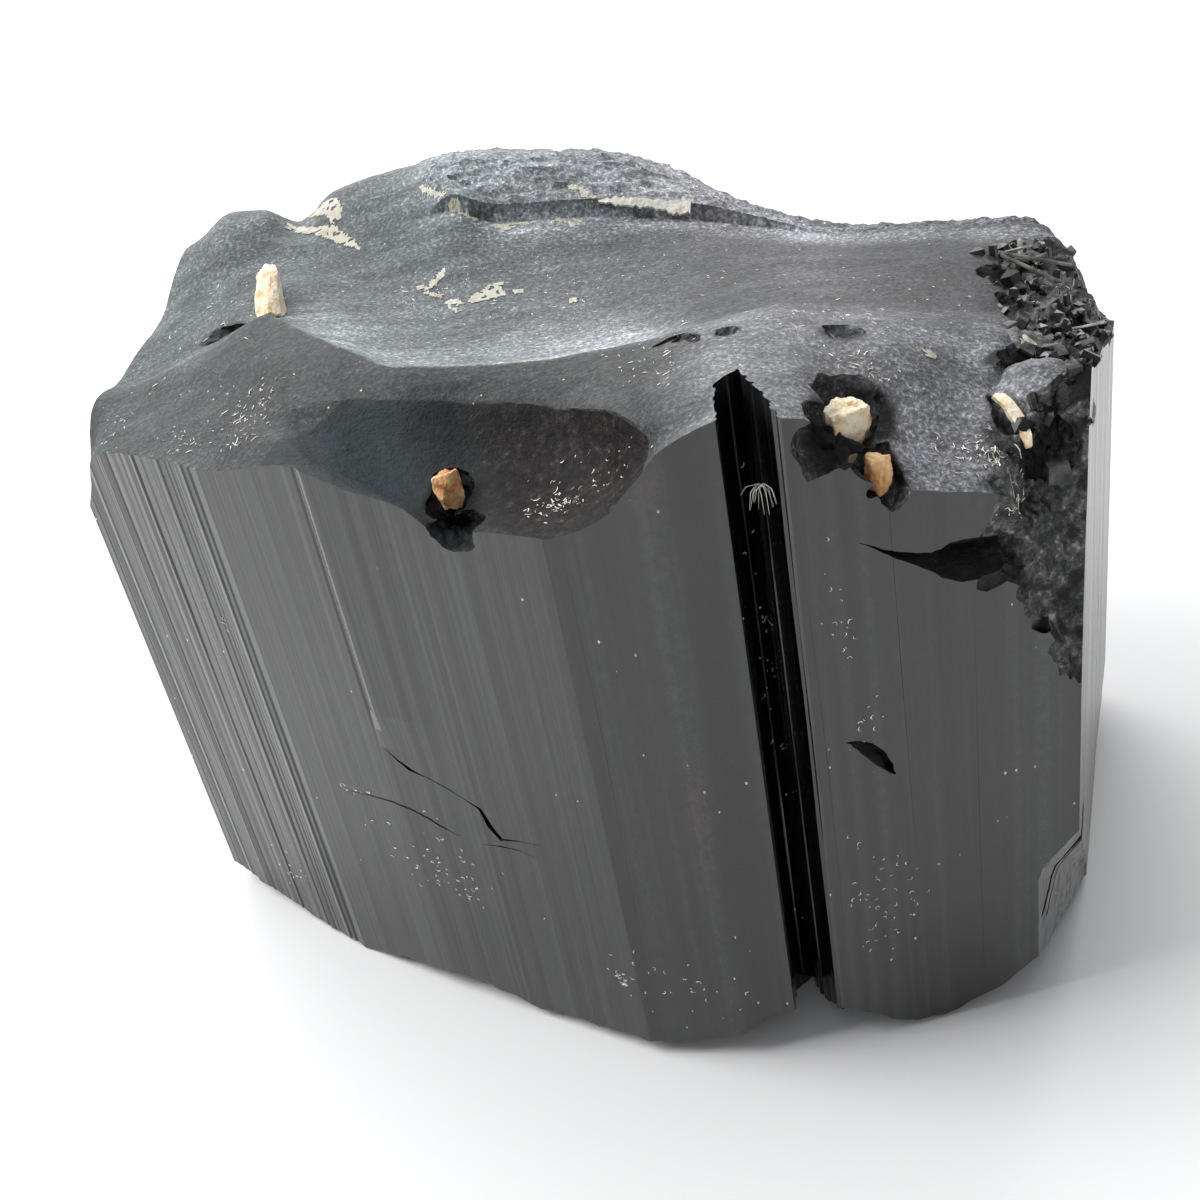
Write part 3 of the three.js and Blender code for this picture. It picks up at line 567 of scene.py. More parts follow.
def top_tone_with_painted_light(x, y):
    """How light the break is at places on the plan, where 1 is its usual grey: painted shade in
    front of the crest, painted light just behind it and a painted highlight at the plate's foot.
    """
    behind_crest = y - hermite(CREST, 1, x)
    before_foot = hermite(BACK_FOOT, 1, x) - y
    left = 1 - smoothstep(*LEFT_HALF, x)
    # Painted shade: the break in front of the crest is darkened, on the left half.
    front = left * (1 - smoothstep(-0.2, 0.2, behind_crest))
    tone_with_painted_light = 1 + (FRONT_PAINTED_SHADE[0] + FRONT_PAINTED_SHADE[1] * smoothstep(-30, -20, x)) * front
    # Painted light: the band just behind the crest is lightened.
    band = (1 - smoothstep(*BAND, behind_crest)) * (behind_crest > 0) * left * smoothstep(-22, -15, x)
    # Painted highlight: a lighter band just before the plate's foot.
    foot = np.exp(-(before_foot / FOOT_WIDTH) ** 2) * (before_foot > 0) * smoothstep(-12, -7, x)
    plateau = smoothstep(1.5, 4, behind_crest) * smoothstep(2, 5, before_foot) * smoothstep(-9, 9, x)
    plateau *= 1 - band
    bench = smoothstep(16, 19, x) * (1 - smoothstep(-15, -11, y))
    tongue = between(TONGUE, x) * (1 - smoothstep(-18, -14, y))
    dim = smoothstep(19, 24, x) * smoothstep(-14, -9, y)
    parts = [
        (BAND_PAINTED_LIGHT, band), (FOOT_PAINTED_HIGHLIGHT, foot), (PLATEAU_TONE, plateau), (BENCH_TONE, bench),
        (PLATE_TONE, plate_zone(x, y)), (TONGUE_TONE, tongue), (DIM_TONE, dim),
    ]
    for change, share in parts:
        tone_with_painted_light = tone_with_painted_light * (1 + change * share)
    return tone_with_painted_light


# Solids from grids of points


def mesh_from(points, faces, slot):
    mesh = bpy.data.meshes.new("solid")
    mesh.from_pydata([tuple(p) for p in points], [], faces)
    mesh.polygons.foreach_set("material_index", [slot] * len(mesh.polygons))
    mesh.update()
    return mesh


def mesh_from_bmesh(bm, slot=0):
    mesh = bpy.data.meshes.new("solid")
    bm.to_mesh(mesh)
    bm.free()
    mesh.polygons.foreach_set("material_index", [slot] * len(mesh.polygons))
    return mesh


def drop_loose(bm):
    bmesh.ops.delete(bm, geom=[v for v in bm.verts if not v.link_faces], context="VERTS")


def outward_mesh(bm, slot=0):
    """The mesh with all its faces turned outward."""
    bmesh.ops.recalc_face_normals(bm, faces=bm.faces)
    return mesh_from_bmesh(bm, slot)


def add_tube(bm, loops):
    """Joins rings of vertices by faces and closes both ends."""
    for a, b in zip(loops, loops[1:]):
        for k in range(len(a)):
            n = (k + 1) % len(a)
            bm.faces.new((a[k], a[n], b[n], b[k]))
    bm.faces.new(tuple(reversed(loops[0])))
    bm.faces.new(loops[-1])


def solid_under(grid, floor):
    """A closed solid under a grid of points, given as rows by columns by three."""
    rows, columns, _ = grid.shape
    top = grid.reshape(-1, 3)
    low = top.copy()
    low[:, 2] = floor
    size = rows * columns
    faces = []
    for r in range(rows - 1):
        for c in range(columns - 1):
            a, b = r * columns + c, (r + 1) * columns + c
            faces.append((a, a + 1, b + 1, b))
            faces.append((size + a, size + b, size + b + 1, size + a + 1))
    for c in range(columns - 1):
        d = (rows - 1) * columns + c
        faces.append((c, size + c, size + c + 1, c + 1))
        faces.append((d + 1, size + d + 1, size + d, d))
    for r in range(rows - 1):
        a, b = r * columns, (r + 1) * columns
        e, f = a + columns - 1, b + columns - 1
        faces.append((b, size + b, size + a, a))
        faces.append((e, size + e, size + f, f))
    return mesh_from(np.concatenate((top, low)), faces, BREAK)


def carve(piece, mesh, operation):
    """Cuts a solid from the piece, or joins or crosses them."""
    tool = link(mesh, "tool")
    modifier = piece.modifiers.new("carve", "BOOLEAN")
    modifier.solver = "MANIFOLD"
    modifier.material_mode = "INDEX"
    modifier.operation = operation
    modifier.object = tool
    view = bpy.context.evaluated_depsgraph_get()
    result = bpy.data.meshes.new_from_object(piece.evaluated_get(view))
    piece.modifiers.clear()
    piece.data = result
    bpy.data.objects.remove(tool)


# The striated column


def face_levels(index, length, rng):
    """Distance along a face and how far it stands out there, for every strip of the face."""
    narrow, wide, depth, ramp, tilt = FACE_STRIPS.get(index, PLAIN_FACE)
    rows = [(0.0, 0.0)]
    if index == STEP_FACE:
        rows += [(STEP_WIDTH, 0.0), (1.0, 0.0)]
    at = FIRST_STRIPS.get(index, STRIP_MARGIN)
    end = length - LAST_STRIPS.get(index, STRIP_MARGIN)
    while at < end - narrow:
        width = min(rng.uniform(narrow, wide), end - at)
        level = max(-MOST_DEPTHS * depth, min(MOST_DEPTHS * depth, rng.gauss(0.0, depth)))
        slant = width * rng.uniform(-tilt, tilt)
        rows.append((at + 0.5 * ramp * width, level - slant))
        rows.append((at + (1 - 0.5 * ramp) * width, level + slant))
        at += width
    if index == STEP_FACE - 1:
        rows += [(length - 2 * NOTCH_WIDTH, 0.0), (length - NOTCH_WIDTH, 0.0)]
    if index == LEFT_FACE:
        rows.append((length - LEFT_EDGE[0], LEFT_EDGE[1]))
    return [row for row in rows if row[0] < length - CORNER_MARGIN]


def step_level(index, distance, rest, z):
    """The growth step whose edge is the bright line on the left front, and the notch beside it."""
    share = float(smoothstep(*STEP_RISE, z))
    if index == STEP_FACE - 1 and rest < 1.5 * NOTCH_WIDTH:
        return -NOTCH_DEPTH * share
    if index == STEP_FACE:
        fall = 1 - float(smoothstep(*STEP_FALL, distance))
        return STEP_HEIGHT * share * min(1.0, distance / STEP_WIDTH) * fall
    return 0.0


def column_solid():
    rng = random.Random(COLUMN_SEED)
    ring = []
    for index, corner in enumerate(OUTLINE):
        a = Vector(corner)
        b = Vector(OUTLINE[(index + 1) % len(OUTLINE)])
        along = (b - a).normalized()
        out = Vector((along.y, -along.x))
        for distance, level in face_levels(index, (b - a).length, rng):
            rest = (b - a).length - distance
            ring.append((a + along * distance, out, level, index, distance, rest))
    heights = np.arange(-1.0, COLUMN_TOP + COLUMN_ROW, COLUMN_ROW)
    points, faces = [], []
    for z in heights:
        for k, (base, out, level, index, distance, rest) in enumerate(ring):
            fade = 1.0 + 0.8 * noise.noise(Vector((0.9 * (k // 2), 3.1 * index, 0.07 * z)))
            spot = base + out * (level * fade + step_level(index, distance, rest, z))
            points.append(place(spot.x, spot.y, z))
    count = len(ring)
    for r in range(len(heights) - 1):
        for k in range(count):
            a, b = r * count + k, r * count + (k + 1) % count
            faces.append((a, b, b + count, a + count))
    faces.append(tuple(reversed(range(count))))
    faces.append(tuple(range((len(heights) - 1) * count, len(heights) * count)))
    return mesh_from(points, faces, FACE)


# The broken top


def facets(spot, size):
    """Height of a field of small flat facets, each tilted its own way."""
    _, cells = noise.voronoi(spot / size)
    tilt = noise.noise_vector(cells[0] * 11.3)
    return tilt.dot(spot / size - cells[0]) * 1.6 + 0.7 * noise.noise(cells[0] * 7.7)


def druse_relief(spot):
    """Height of the rough corner: broken blocks with hollows between them."""
    return 0.85 * facets(spot, 2.4) + 0.3 * facets(spot, 0.9)


def top_solid():
    xs = np.arange(FIELD_LEFT, FIELD_RIGHT + FIELD_STEP, FIELD_STEP)
    ys, zs = top_rows(xs)
    rows, columns = ys.shape
    grid = np.stack((np.broadcast_to(xs, ys.shape), ys, zs), axis=-1)
    normals = np.cross(np.gradient(grid, axis=1), np.gradient(grid, axis=0))
    normals /= np.linalg.norm(normals, axis=2, keepdims=True) + 1e-9
    druse = druse_zone(grid[..., 0], ys)
    plate = plate_zone(grid[..., 0], ys)
    hollow = scoop_zone(grid[..., 0], ys)
    for r in range(rows):
        for c in range(columns):
            spot = Vector(grid[r, c])
            lift = BROAD_RELIEF * noise.fractal(spot * 0.22, 0.9, 2.1, 4)
            lift += FINE_RELIEF * noise.noise(spot * 1.7)
            if plate[r, c] > 0.0:
                rough = noise.fractal(Vector((spot.x * 0.9, spot.y * 1.6, 0)), 0.75, 2.3, 4)
                lift += plate[r, c] * (PLATE_RELIEF[0] * rough + PLATE_RELIEF[1] * facets(spot, 1.6))
            lift += SCOOP_RELIEF * hollow[r, c] * smoothstep(-9, -4, spot.x) * facets(spot, 1.3)
            if druse[r, c] > 0.0:
                rim = smoothstep(-0.3, 2.2, before_right_rim(spot.x, spot.y))
                lift += druse[r, c] * (0.2 + 0.8 * rim) * (druse_relief(spot) - 0.5)
            grid[r, c] += normals[r, c] * lift
    grid -= np.array((CENTRE.x, CENTRE.y, 0.0))
    return solid_under(grid * MM, BELOW * MM)


# The chipped underside


def reach_of_outline(angle):
    """Distance from the centre to the outline in a direction, across the groove's mouth."""
    rim = [Vector(p) - CENTRE.xy for k, p in enumerate(OUTLINE) if k not in GROOVE_BOTTOM]
    way = Vector((math.cos(angle), math.sin(angle)))
    reach = 0.0
    for a, b in zip(rim, rim[1:] + rim[:1]):
        edge = b - a
        cross = way.x * edge.y - way.y * edge.x
        if abs(cross) > 1e-9:
            along = (a.x * way.y - a.y * way.x) / cross
            if 0.0 <= along <= 1.0:
                reach = max(reach, (a.x * edge.y - a.y * edge.x) / cross)
    return reach


def underside_solid():
    steps = UNDERSIDE_STEPS
    rows = []
    for share in UNDERSIDE_SHARES:
        rise = ((share - FLAT_SHARE) / (1 - FLAT_SHARE)) ** 1.7
        for k in range(steps):
            angle = -math.pi + 2 * math.pi * k / steps
            reach = reach_of_outline(angle) * share
            x, y = math.cos(angle) * reach, math.sin(angle) * reach
            height = read(LOWER_RIM, math.degrees(angle)) * rise
            rough = noise.fractal(Vector((x, y, 0)) * 0.5, 0.8, 2.1, 4) * min(1.0, 1.6 * rise)
            rows.append(Vector((x, y, max(0.0, height + 0.45 * rough))) * MM)
    points = [Vector((0, 0, 0))] + rows
    points += [Vector((p.x, p.y, BELOW * MM)) for p in rows[-steps:]] + [Vector((0, 0, BELOW * MM))]
    rings = len(UNDERSIDE_SHARES)
    faces = []
    for k in range(steps):
        n = (k + 1) % steps
        faces.append((0, 1 + k, 1 + n))
        for r in range(rings):
            a, b = 1 + r * steps + k, 1 + r * steps + n
            faces.append((a, a + steps, b + steps, b))
        faces.append((len(points) - 1, 1 + rings * steps + n, 1 + rings * steps + k))
    return mesh_from(points, faces, BREAK)


# Pits, chips, lumps and the crack


def random_sides(rng, count):
    """Flat sides as directions and distances: a slightly skewed box when there are many."""
    sides = []
    if count > 8:
        for axis in range(3):
            for way in (-1, 1):
                normal = Vector([rng.gauss(0, 0.12) for _ in range(3)])
                normal[axis] += way
                sides.append((normal.normalized(), rng.uniform(0.62, 0.75)))
    for _ in range(count):
        normal = Vector([rng.gauss(0, 1) for _ in range(3)]).normalized()
        sides.append((normal, rng.uniform(0.6, 0.9)))
    return sides


def chunk(at, radii, seed, slot=BREAK, turn=Matrix.Identity(3), sides=0, roughness=0.2, detail=4):
    """An irregular closed ball cut by random flat sides: a pit, a lump or a grain."""
    flats = random_sides(random.Random(seed), sides)
    shift = Vector((seed * 3.7, seed * 1.9, seed * 5.3))
    bm = bmesh.new()
    bmesh.ops.create_icosphere(bm, subdivisions=detail, radius=1.0)
    for vertex in bm.verts:
        way = vertex.co.copy()
        reach = min([1.15] + [d / way.dot(n) for n, d in flats if way.dot(n) > 0.05])
        reach *= 1.0 + roughness * noise.fractal(way * 1.6 + shift, 0.8, 2.1, 4)
        spot = turn @ Vector(way[k] * reach * radii[k] for k in range(3)) + Vector(at)
        vertex.co = place(*spot)
    return mesh_from_bmesh(bm, slot)


def flat_sided(sides, middle, roughness, slot):
    """A ball pushed out to flat sides and roughened: the tool for a chip with flat floors."""
    middle = Vector(middle)
    planes = [(Vector(point), Vector(normal).normalized()) for point, normal in sides]
    bm = bmesh.new()
    bmesh.ops.create_icosphere(bm, subdivisions=5, radius=1.0)
    for vertex in bm.verts:
        way = vertex.co.normalized()
        spot = middle + way * min(
            (point - middle).dot(normal) / way.dot(normal)
            for point, normal in planes if way.dot(normal) > 1e-3)
        spot += way * roughness * noise.fractal(spot * 0.8, 0.8, 2.1, 4)
        vertex.co = place(*spot)
    return mesh_from_bmesh(bm, slot)


def groove_solid(path, deepest, slot):
    """A curved three-sided wedge along a path on the walls, its edge pointing into the crystal."""
    widest = max(half for _, _, half in path)
    bm = bmesh.new()
    loops = []
    for k, (x, z, half) in enumerate(path):
        before = Vector(path[max(k - 1, 0)][:2])
        after = Vector(path[min(k + 1, len(path) - 1)][:2])
        along = (after - before).normalized()
        aside = Vector((-along.y, along.x)) * half * 1.15
        depth = deepest * min(1.0, half / widest + 0.1)
        spots = [
            place(x + aside.x, read(FRONT_LINE, x + aside.x) - 0.5, z + aside.y),
            place(x - aside.x, read(FRONT_LINE, x - aside.x) - 0.5, z - aside.y),
            place(x, read(FRONT_LINE, x) + depth, z),
        ]
        loops.append([bm.verts.new(spot) for spot in spots])
    add_tube(bm, loops)
    return outward_mesh(bm, slot)


# The crystal


def radii_away(spots, at, radii):
    """How many of its radii each spot is away from the middle of a pit or lump."""
    return np.sqrt((((spots - np.array(at)) / np.array(radii)) ** 2).sum(axis=1))


def mark_zones(mesh):
    """Writes the zones of the break on the mesh, for the materials to read, among them painted
    shade: near-black in the rough corner's hollows, the pits, the cuts low on the front and the groove.
    """
    spots = np.empty(len(mesh.vertices) * 3)
    mesh.vertices.foreach_get("co", spots)
    spots = spots.reshape(-1, 3) / MM + np.array(CENTRE)
    x, y, z = spots.T
    rough = druse_zone(x, y)
    # Break surfaces low on the front, in the cuts and on the chipped underside, get the near-black rock
    # colour: painted shade in these hollows.
    cuts = (z < DARK_BELOW) * (y < 0)
    dark = np.maximum(rough, cuts)
    # High is the raised part of the rough corner's relief; where it is low the rock is painted near-black:
    # painted shade between the blocks.
    high = np.zeros(len(x))
    for k in np.flatnonzero(rough > 0):
        high[k] = smoothstep(-0.35, 0.3, druse_relief(Vector(spots[k])))
    high *= 1 - cuts * (x < CUTS_END)
    # Inside each pit the rock is painted near-black: painted shade, which also draws the dark slit beside
    # the left grain.
    for at, radii in PITS:
        away = radii_away(spots, at, radii)
        dark = np.maximum(dark, 1 - smoothstep(0.9, 1.2, away))
        high *= smoothstep(0.95, 1.15, away)
    for at, radii in LUMPS:
        dark *= smoothstep(1.15, 1.4, radii_away(spots, at, radii))
    # Groove zone: the prism faces inside the groove are painted near-black, painted shade.
    groove = smoothstep(0.3, 1.2, y - read(FRONT_LINE, x)) * (z < GROOVE_TOP)
    groove *= between(GROOVE_MOUTH, x) * (y < GROOVE_BACK)
    side = smoothstep(-0.7, -0.2, -before_right_rim(x, y))
    zones = {
        "side": side, "groove": groove, "scoop": scoop_zone(x, y) * (z > SCOOP_ABOVE),
        # The tone zone carries the top's painted light and shade.
        "high": high, "dark": dark, "tone_with_painted_light": 0.4 * top_tone_with_painted_light(x, y),
    }
    for name, share in zones.items():
        mesh.attributes.new(name, "FLOAT", "POINT").data.foreach_set("value", share.astype(np.float32))


def smooth_below(mesh, angle):
    """Shades the mesh smoothly, apart from edges sharper than the angle."""
    mesh.polygons.foreach_set("use_smooth", [True] * len(mesh.polygons))
    mesh.set_sharp_from_angle(angle=angle)


def sharpen_strips(mesh):
    """Keeps the edges of the fine strips on the prism faces crisp."""
    bm = bmesh.new()
    bm.from_mesh(mesh)
    for edge in bm.edges:
        if len(edge.link_faces) == 2 and all(face.material_index == FACE for face in edge.link_faces):
            if edge.calc_face_angle(0.0) > STRIP_ANGLE:
                edge.smooth = False
    bm.to_mesh(mesh)
    bm.free()


def crystal():
    piece = link(column_solid(), "tourmaline")
    carve(piece, top_solid(), "INTERSECT")
    carve(piece, underside_solid(), "DIFFERENCE")
    for seed, (at, radii) in enumerate(PITS):
        carve(piece, chunk(at, radii, seed, sides=5), "DIFFERENCE")
    carve(piece, flat_sided(LOWER_CHIP, LOWER_MIDDLE, LOWER_ROUGHNESS, FACE), "DIFFERENCE")
    for paths, deepest, slot in WALL_CUTS:
        for path in paths:
            carve(piece, groove_solid(path, deepest, slot), "DIFFERENCE")
    for seed, (at, radii) in enumerate(ROUGH_CHIPS):
        carve(piece, chunk(at, radii, seed + CHIP_SEED, sides=6, roughness=0.3), "DIFFERENCE")
    for seed, (at, radii) in enumerate(LUMPS):
        carve(piece, chunk(at, radii, seed + LUMP_SEED, roughness=0.1), "UNION")
    mesh = piece.data
    smooth_below(mesh, SMOOTH_ANGLE)
    sharpen_strips(mesh)
    mark_zones(mesh)
    slots = np.empty(len(mesh.polygons), np.int32)
    mesh.polygons.foreach_get("material_index", slots)
    mesh.materials.clear()
    for material in (face_material(), break_material()):
        mesh.materials.append(material)
    mesh.polygons.foreach_set("material_index", slots)
    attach(piece, "root")
    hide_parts("tourmaline_crystal")
    return piece


# Small crystals, blocks and needles on the right corner


def add_six_sided(bm, foot, along, radius, length, turn, tip=0.45):
    """Adds a small closed six-sided crystal with a pointed end."""
    along = along.normalized()
    side = along.orthogonal().normalized()
    other = along.cross(side)
    rings = []
    for share, size in ((0.0, 1.0), (1.0, 0.96)):
        ring = []
        for k in range(6):
            angle = math.radians(turn + 60 * k)
            reach = radius * size * (1.0 if k % 2 else 0.82)
            spot = foot + along * length * share
            spot += side * math.cos(angle) * reach + other * math.sin(angle) * reach
            ring.append(bm.verts.new(place(*spot)))
        rings.append(ring)
    point = bm.verts.new(place(*(foot + along * (length + tip * radius))))
    for k in range(6):
        n = (k + 1) % 6
        bm.faces.new((rings[0][k], rings[0][n], rings[1][n], rings[1][k]))
        bm.faces.new((rings[1][k], rings[1][n], point))
    bm.faces.new(tuple(reversed(rings[0])))


def on_surface(tree, x, y):
    """The break's height and normal at a place on the plan, in millimetres."""
    hit, normal, _, _ = tree.ray_cast(place(x, y, RAY_TOP), Vector((0, 0, -1)))
    if hit is None:
        return None, None
    return hit / MM + CENTRE, normal


def on_wall(tree, x, z):
    """The front walls' surface at a place from left to right and a height, in millimetres."""
    hit, normal, _, _ = tree.ray_cast(place(x, RAY_FRONT, z), Vector((0, 1, 0)))
    return None if hit is None else hit / MM + CENTRE + normal * WALL_SLIVER_LIFT


def sow_in_druse(tree, rng, count):
    """Places on the rough corner, with the way out of the surface."""
    found = []
    while len(found) < count:
        x, y = rng.uniform(*SOWN_ACROSS), rng.uniform(*SOWN_BACK)
        spot, normal = on_surface(tree, x, y)
        if spot is None or spot.z < SOWN_ABOVE or rng.random() > druse_zone(x, y):
            continue
        taken = [(at, LUMP_ROOM * max(radii)) for at, radii in LUMPS]
        taken += [(at, BLADE_ROOM) for *at, _ in BLADE]
        if all((spot - Vector(at)).length >= room for at, room in taken):
            found.append((spot, normal))
    return found


def small_crystals(tree):
    rng = random.Random(CRYSTAL_SEED)
    bm = bmesh.new()
    for k, (x, y, z, radius, length, lean, towards) in enumerate(SMALL_CRYSTALS):
        tilt, way = math.radians(lean), math.radians(towards)
        along = Vector((math.sin(tilt) * math.cos(way), math.sin(tilt) * math.sin(way), math.cos(tilt)))
        add_six_sided(bm, Vector((x, y, z - 1.0)), along, radius * 0.8, length + 0.4, 23 * k)
    for spot, normal in sow_in_druse(tree, rng, CRYSTALLETS):
        radius = rng.uniform(*CRYSTALLET_RADII)
        along = normal + Vector((rng.gauss(0, 0.7), rng.gauss(0, 0.7), 0.3))
        foot = spot - along.normalized() * radius
        add_six_sided(bm, foot, along, radius, radius * rng.uniform(1.4, 3.4), rng.uniform(0, 60))
    finish_piece(mesh_from_bmesh(bm), "small_crystals", gloss_material())


def needles():
    """Dull grey blades across the hollow on the corner."""
    bm = bmesh.new()
    for k, (start, end, radius) in enumerate(NEEDLES):
        start, end = Vector(start), Vector(end)
        add_six_sided(bm, start, end - start, radius, (end - start).length, 17 * k, 2.0)
    finish_piece(mesh_from_bmesh(bm), "needles", needle_material())


def blocks(tree):
    """Broken blocks between the small crystals, dull on their broken sides."""
    rng = random.Random(BLOCK_SEED)
    bm = bmesh.new()
    for spot, normal in sow_in_druse(tree, rng, BLOCKS):
        size = rng.uniform(*BLOCK_SIZES)
        axes = [size * rng.uniform(0.45, 1.3) for _ in range(3)]
        turn = Matrix.Rotation(rng.uniform(0, CIRCLE), 3, Vector((rng.gauss(0, 1), rng.gauss(0, 1), 1)))
        at = spot + normal * (rng.uniform(-0.3, 0.2) * size)
        corners = []
        for ways in itertools.product((-1, 1), repeat=3):
            corner = Vector([way * axis for way, axis in zip(ways, axes)])
            corner *= rng.uniform(0.55, 1.0)
            corners.append(bm.verts.new(place(*(at + turn @ corner))))
        bmesh.ops.convex_hull(bm, input=corners)
    drop_loose(bm)
    finish_piece(outward_mesh(bm), "corner_blocks", block_material())


def finish_piece(mesh, name, material):
    piece = link(mesh, name)
    mesh.materials.append(material)
    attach(piece, "root")
    return piece


# Feldspar: grains, the curved blade, thin films and slivers


def ribbon(path, thickness, roughness):
    """A thin closed band along a path, its broad side towards the viewer."""
    steps = 8 * (len(path) - 1)
    points = np.array(path, float)
    at = np.linspace(0, len(path) - 1, steps + 1)
    dense = np.stack([np.interp(at, np.arange(len(path)), points[:, k]) for k in range(4)], axis=1)
    bm = bmesh.new()
    loops = []
    for k, (x, y, z, half) in enumerate(dense):
        spot = Vector((x, y, z))
        along = Vector(dense[min(k + 1, steps)][:3]) - Vector(dense[max(k - 1, 0)][:3])
        side = along.cross(RIBBON_FACING).normalized()
        loop = []
        for way, depth in ((1, 0.5), (-1, 0.5), (-1, -0.5), (1, -0.5)):
            edge = half * (1 + roughness * noise.noise(Vector((3.1 * x, 5 * way, y))))
            corner = spot + side * way * edge + RIBBON_FACING * thickness * depth
            loop.append(bm.verts.new(place(*corner)))
        loops.append(loop)
    add_tube(bm, loops)
    return outward_mesh(bm)


def feldspar_grains(cream, orange):
    meshes = {"feldspar_blade": ribbon(BLADE, thickness=0.5, roughness=0.2)}
    for name, (at, radii, lean, turn, seed) in GRAINS.items():
        spin = Matrix.Rotation(math.radians(turn), 3, "Z") @ Matrix.Rotation(math.radians(lean), 3, "X")
        meshes[name] = chunk(at, radii, seed, 0, turn=spin, sides=13, roughness=0.12, detail=5)
    for name, mesh in meshes.items():
        smooth_below(mesh, GRAIN_ANGLE)
        if name in ORANGE_GRAINS:
            piece = finish_piece(mesh, name + "_look", orange)
        else:
            piece = finish_piece(mesh, name + "_look", cream)
        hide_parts(name)


def inside(outline, x, y):
    odd = False
    for (ax, ay), (bx, by) in zip(outline, outline[1:] + outline[:1]):
        if (ay > y) != (by > y) and x < ax + (y - ay) * (bx - ax) / (by - ay):
            odd = not odd
    return odd


def films(tree, material):
    """Thin crumbly films that follow the break, each a closed sheet."""
    rng = random.Random(FILM_SEED)
    bm = bmesh.new()
    for outline in FILMS:
        left, right = min(p[0] for p in outline), max(p[0] for p in outline)
        low, high = min(p[1] for p in outline), max(p[1] for p in outline)
        corners = {}

        def corner(i, j):
            if (i, j) not in corners:
                x = left + FILM_CELL * (i + rng.uniform(-FILM_JITTER, FILM_JITTER))
                y = low + FILM_CELL * (j + rng.uniform(-FILM_JITTER, FILM_JITTER))
                spot, normal = on_surface(tree, x, y)
                vertex = None if spot is None else bm.verts.new(place(*(spot + normal * FILM_LIFT)))
                corners[i, j] = vertex
            return corners[i, j]

        for i in range(int((right - left) / FILM_CELL) + 1):
            for j in range(int((high - low) / FILM_CELL) + 1):
                x, y = left + FILM_CELL * (i + 0.5), low + FILM_CELL * (j + 0.5)
                if not inside(outline, x, y) or noise.noise(Vector((x, y, 0)) * 2.1) < -0.3:
                    continue
                quad = [corner(i, j), corner(i + 1, j), corner(i + 1, j + 1), corner(i, j + 1)]
                if all(quad):
                    bm.faces.new(quad)
    bmesh.ops.solidify(bm, geom=bm.faces[:], thickness=FILM_THICKNESS * MM)
    drop_loose(bm)
    finish_piece(outward_mesh(bm), "feldspar_films", material)
    finish_piece(ribbon(STRIP, thickness=0.35, roughness=0.9), "feldspar_strip", material)


def add_sliver(bm, points, radius):
    """Adds a thin closed three-sided splinter along a few points."""
    rings = []
    for k, point in enumerate(points):
        along = (points[min(k + 1, len(points) - 1)] - points[max(k - 1, 0)]).normalized()
        side = along.orthogonal().normalized()
        other = along.cross(side)
        size = radius * (0.35 if k in (0, len(points) - 1) else 1.0)
        ring = []
        for a in range(3):
            angle = math.radians(120 * a)
            spot = point + (side * math.cos(angle) + other * math.sin(angle)) * size
            ring.append(bm.verts.new(place(*spot)))
        rings.append(ring)
    add_tube(bm, rings)


def strewn(rng, fields):
    """Two coordinates for each sliver of the fields, scattered about their middles."""
    for (first, second), (first_reach, second_reach), count in fields:
        for _ in range(count):
            yield rng.gauss(first, 0.5 * first_reach), rng.gauss(second, 0.5 * second_reach)


def slivers(tree, material):
    """Bright splinters and flecks strewn over the break, and the tuft in the groove's mouth."""
    rng = random.Random(SLIVER_SEED)
    bm = bmesh.new()
    for x, y in strewn(rng, SLIVER_FIELDS):
        half = rng.uniform(*SLIVER_REACH) * rng.uniform(0.3, 1.0)
        angle = rng.uniform(0, CIRCLE)
        way = Vector((math.cos(angle), math.sin(angle), 0))
        bend = Vector((-way.y, way.x, 0)) * half * rng.uniform(-0.5, 0.5)
        spots = []
        for t in SLIVER_PLACES:
            p = Vector((x, y, 0)) + way * half * t + bend * (1 - t * t)
            spot, normal = on_surface(tree, p.x, p.y)
            if spot is None or spot.z < SLIVERS_ABOVE:
                break
            spots.append(spot + normal * SLIVER_LIFT)
        if len(spots) == len(SLIVER_PLACES):
            add_sliver(bm, spots, rng.uniform(*SLIVER_RADII))
    for x, z in strewn(rng, WALL_FIELDS):
        half = rng.uniform(*WALL_SLIVER_REACH)
        angle = rng.uniform(0, CIRCLE)
        spots = []
        for t in SLIVER_PLACES:
            turn = angle + 0.7 * t
            spots.append(on_wall(tree, x + half * t * math.cos(turn), z + half * t * math.sin(turn)))
        if None not in spots:
            add_sliver(bm, spots, rng.uniform(*WALL_SLIVER_RADII))
    for _ in range(TUFT_COUNT):
        foot = Vector(TUFT_FOOT) + Vector((rng.uniform(-0.3, 0.3), rng.uniform(-0.1, 0.2), 0))
        down = Vector((rng.uniform(-1.3, 0.9), rng.uniform(-0.2, 0.1), -rng.uniform(0.5, 2.0)))
        sag = Vector((0.3 * down.x, 0, 0.15))
        add_sliver(bm, [foot, foot + down * 0.4 + sag, foot + down], rng.uniform(*TUFT_RADII))
    finish_piece(outward_mesh(bm), "feldspar_slivers", material)


# Materials


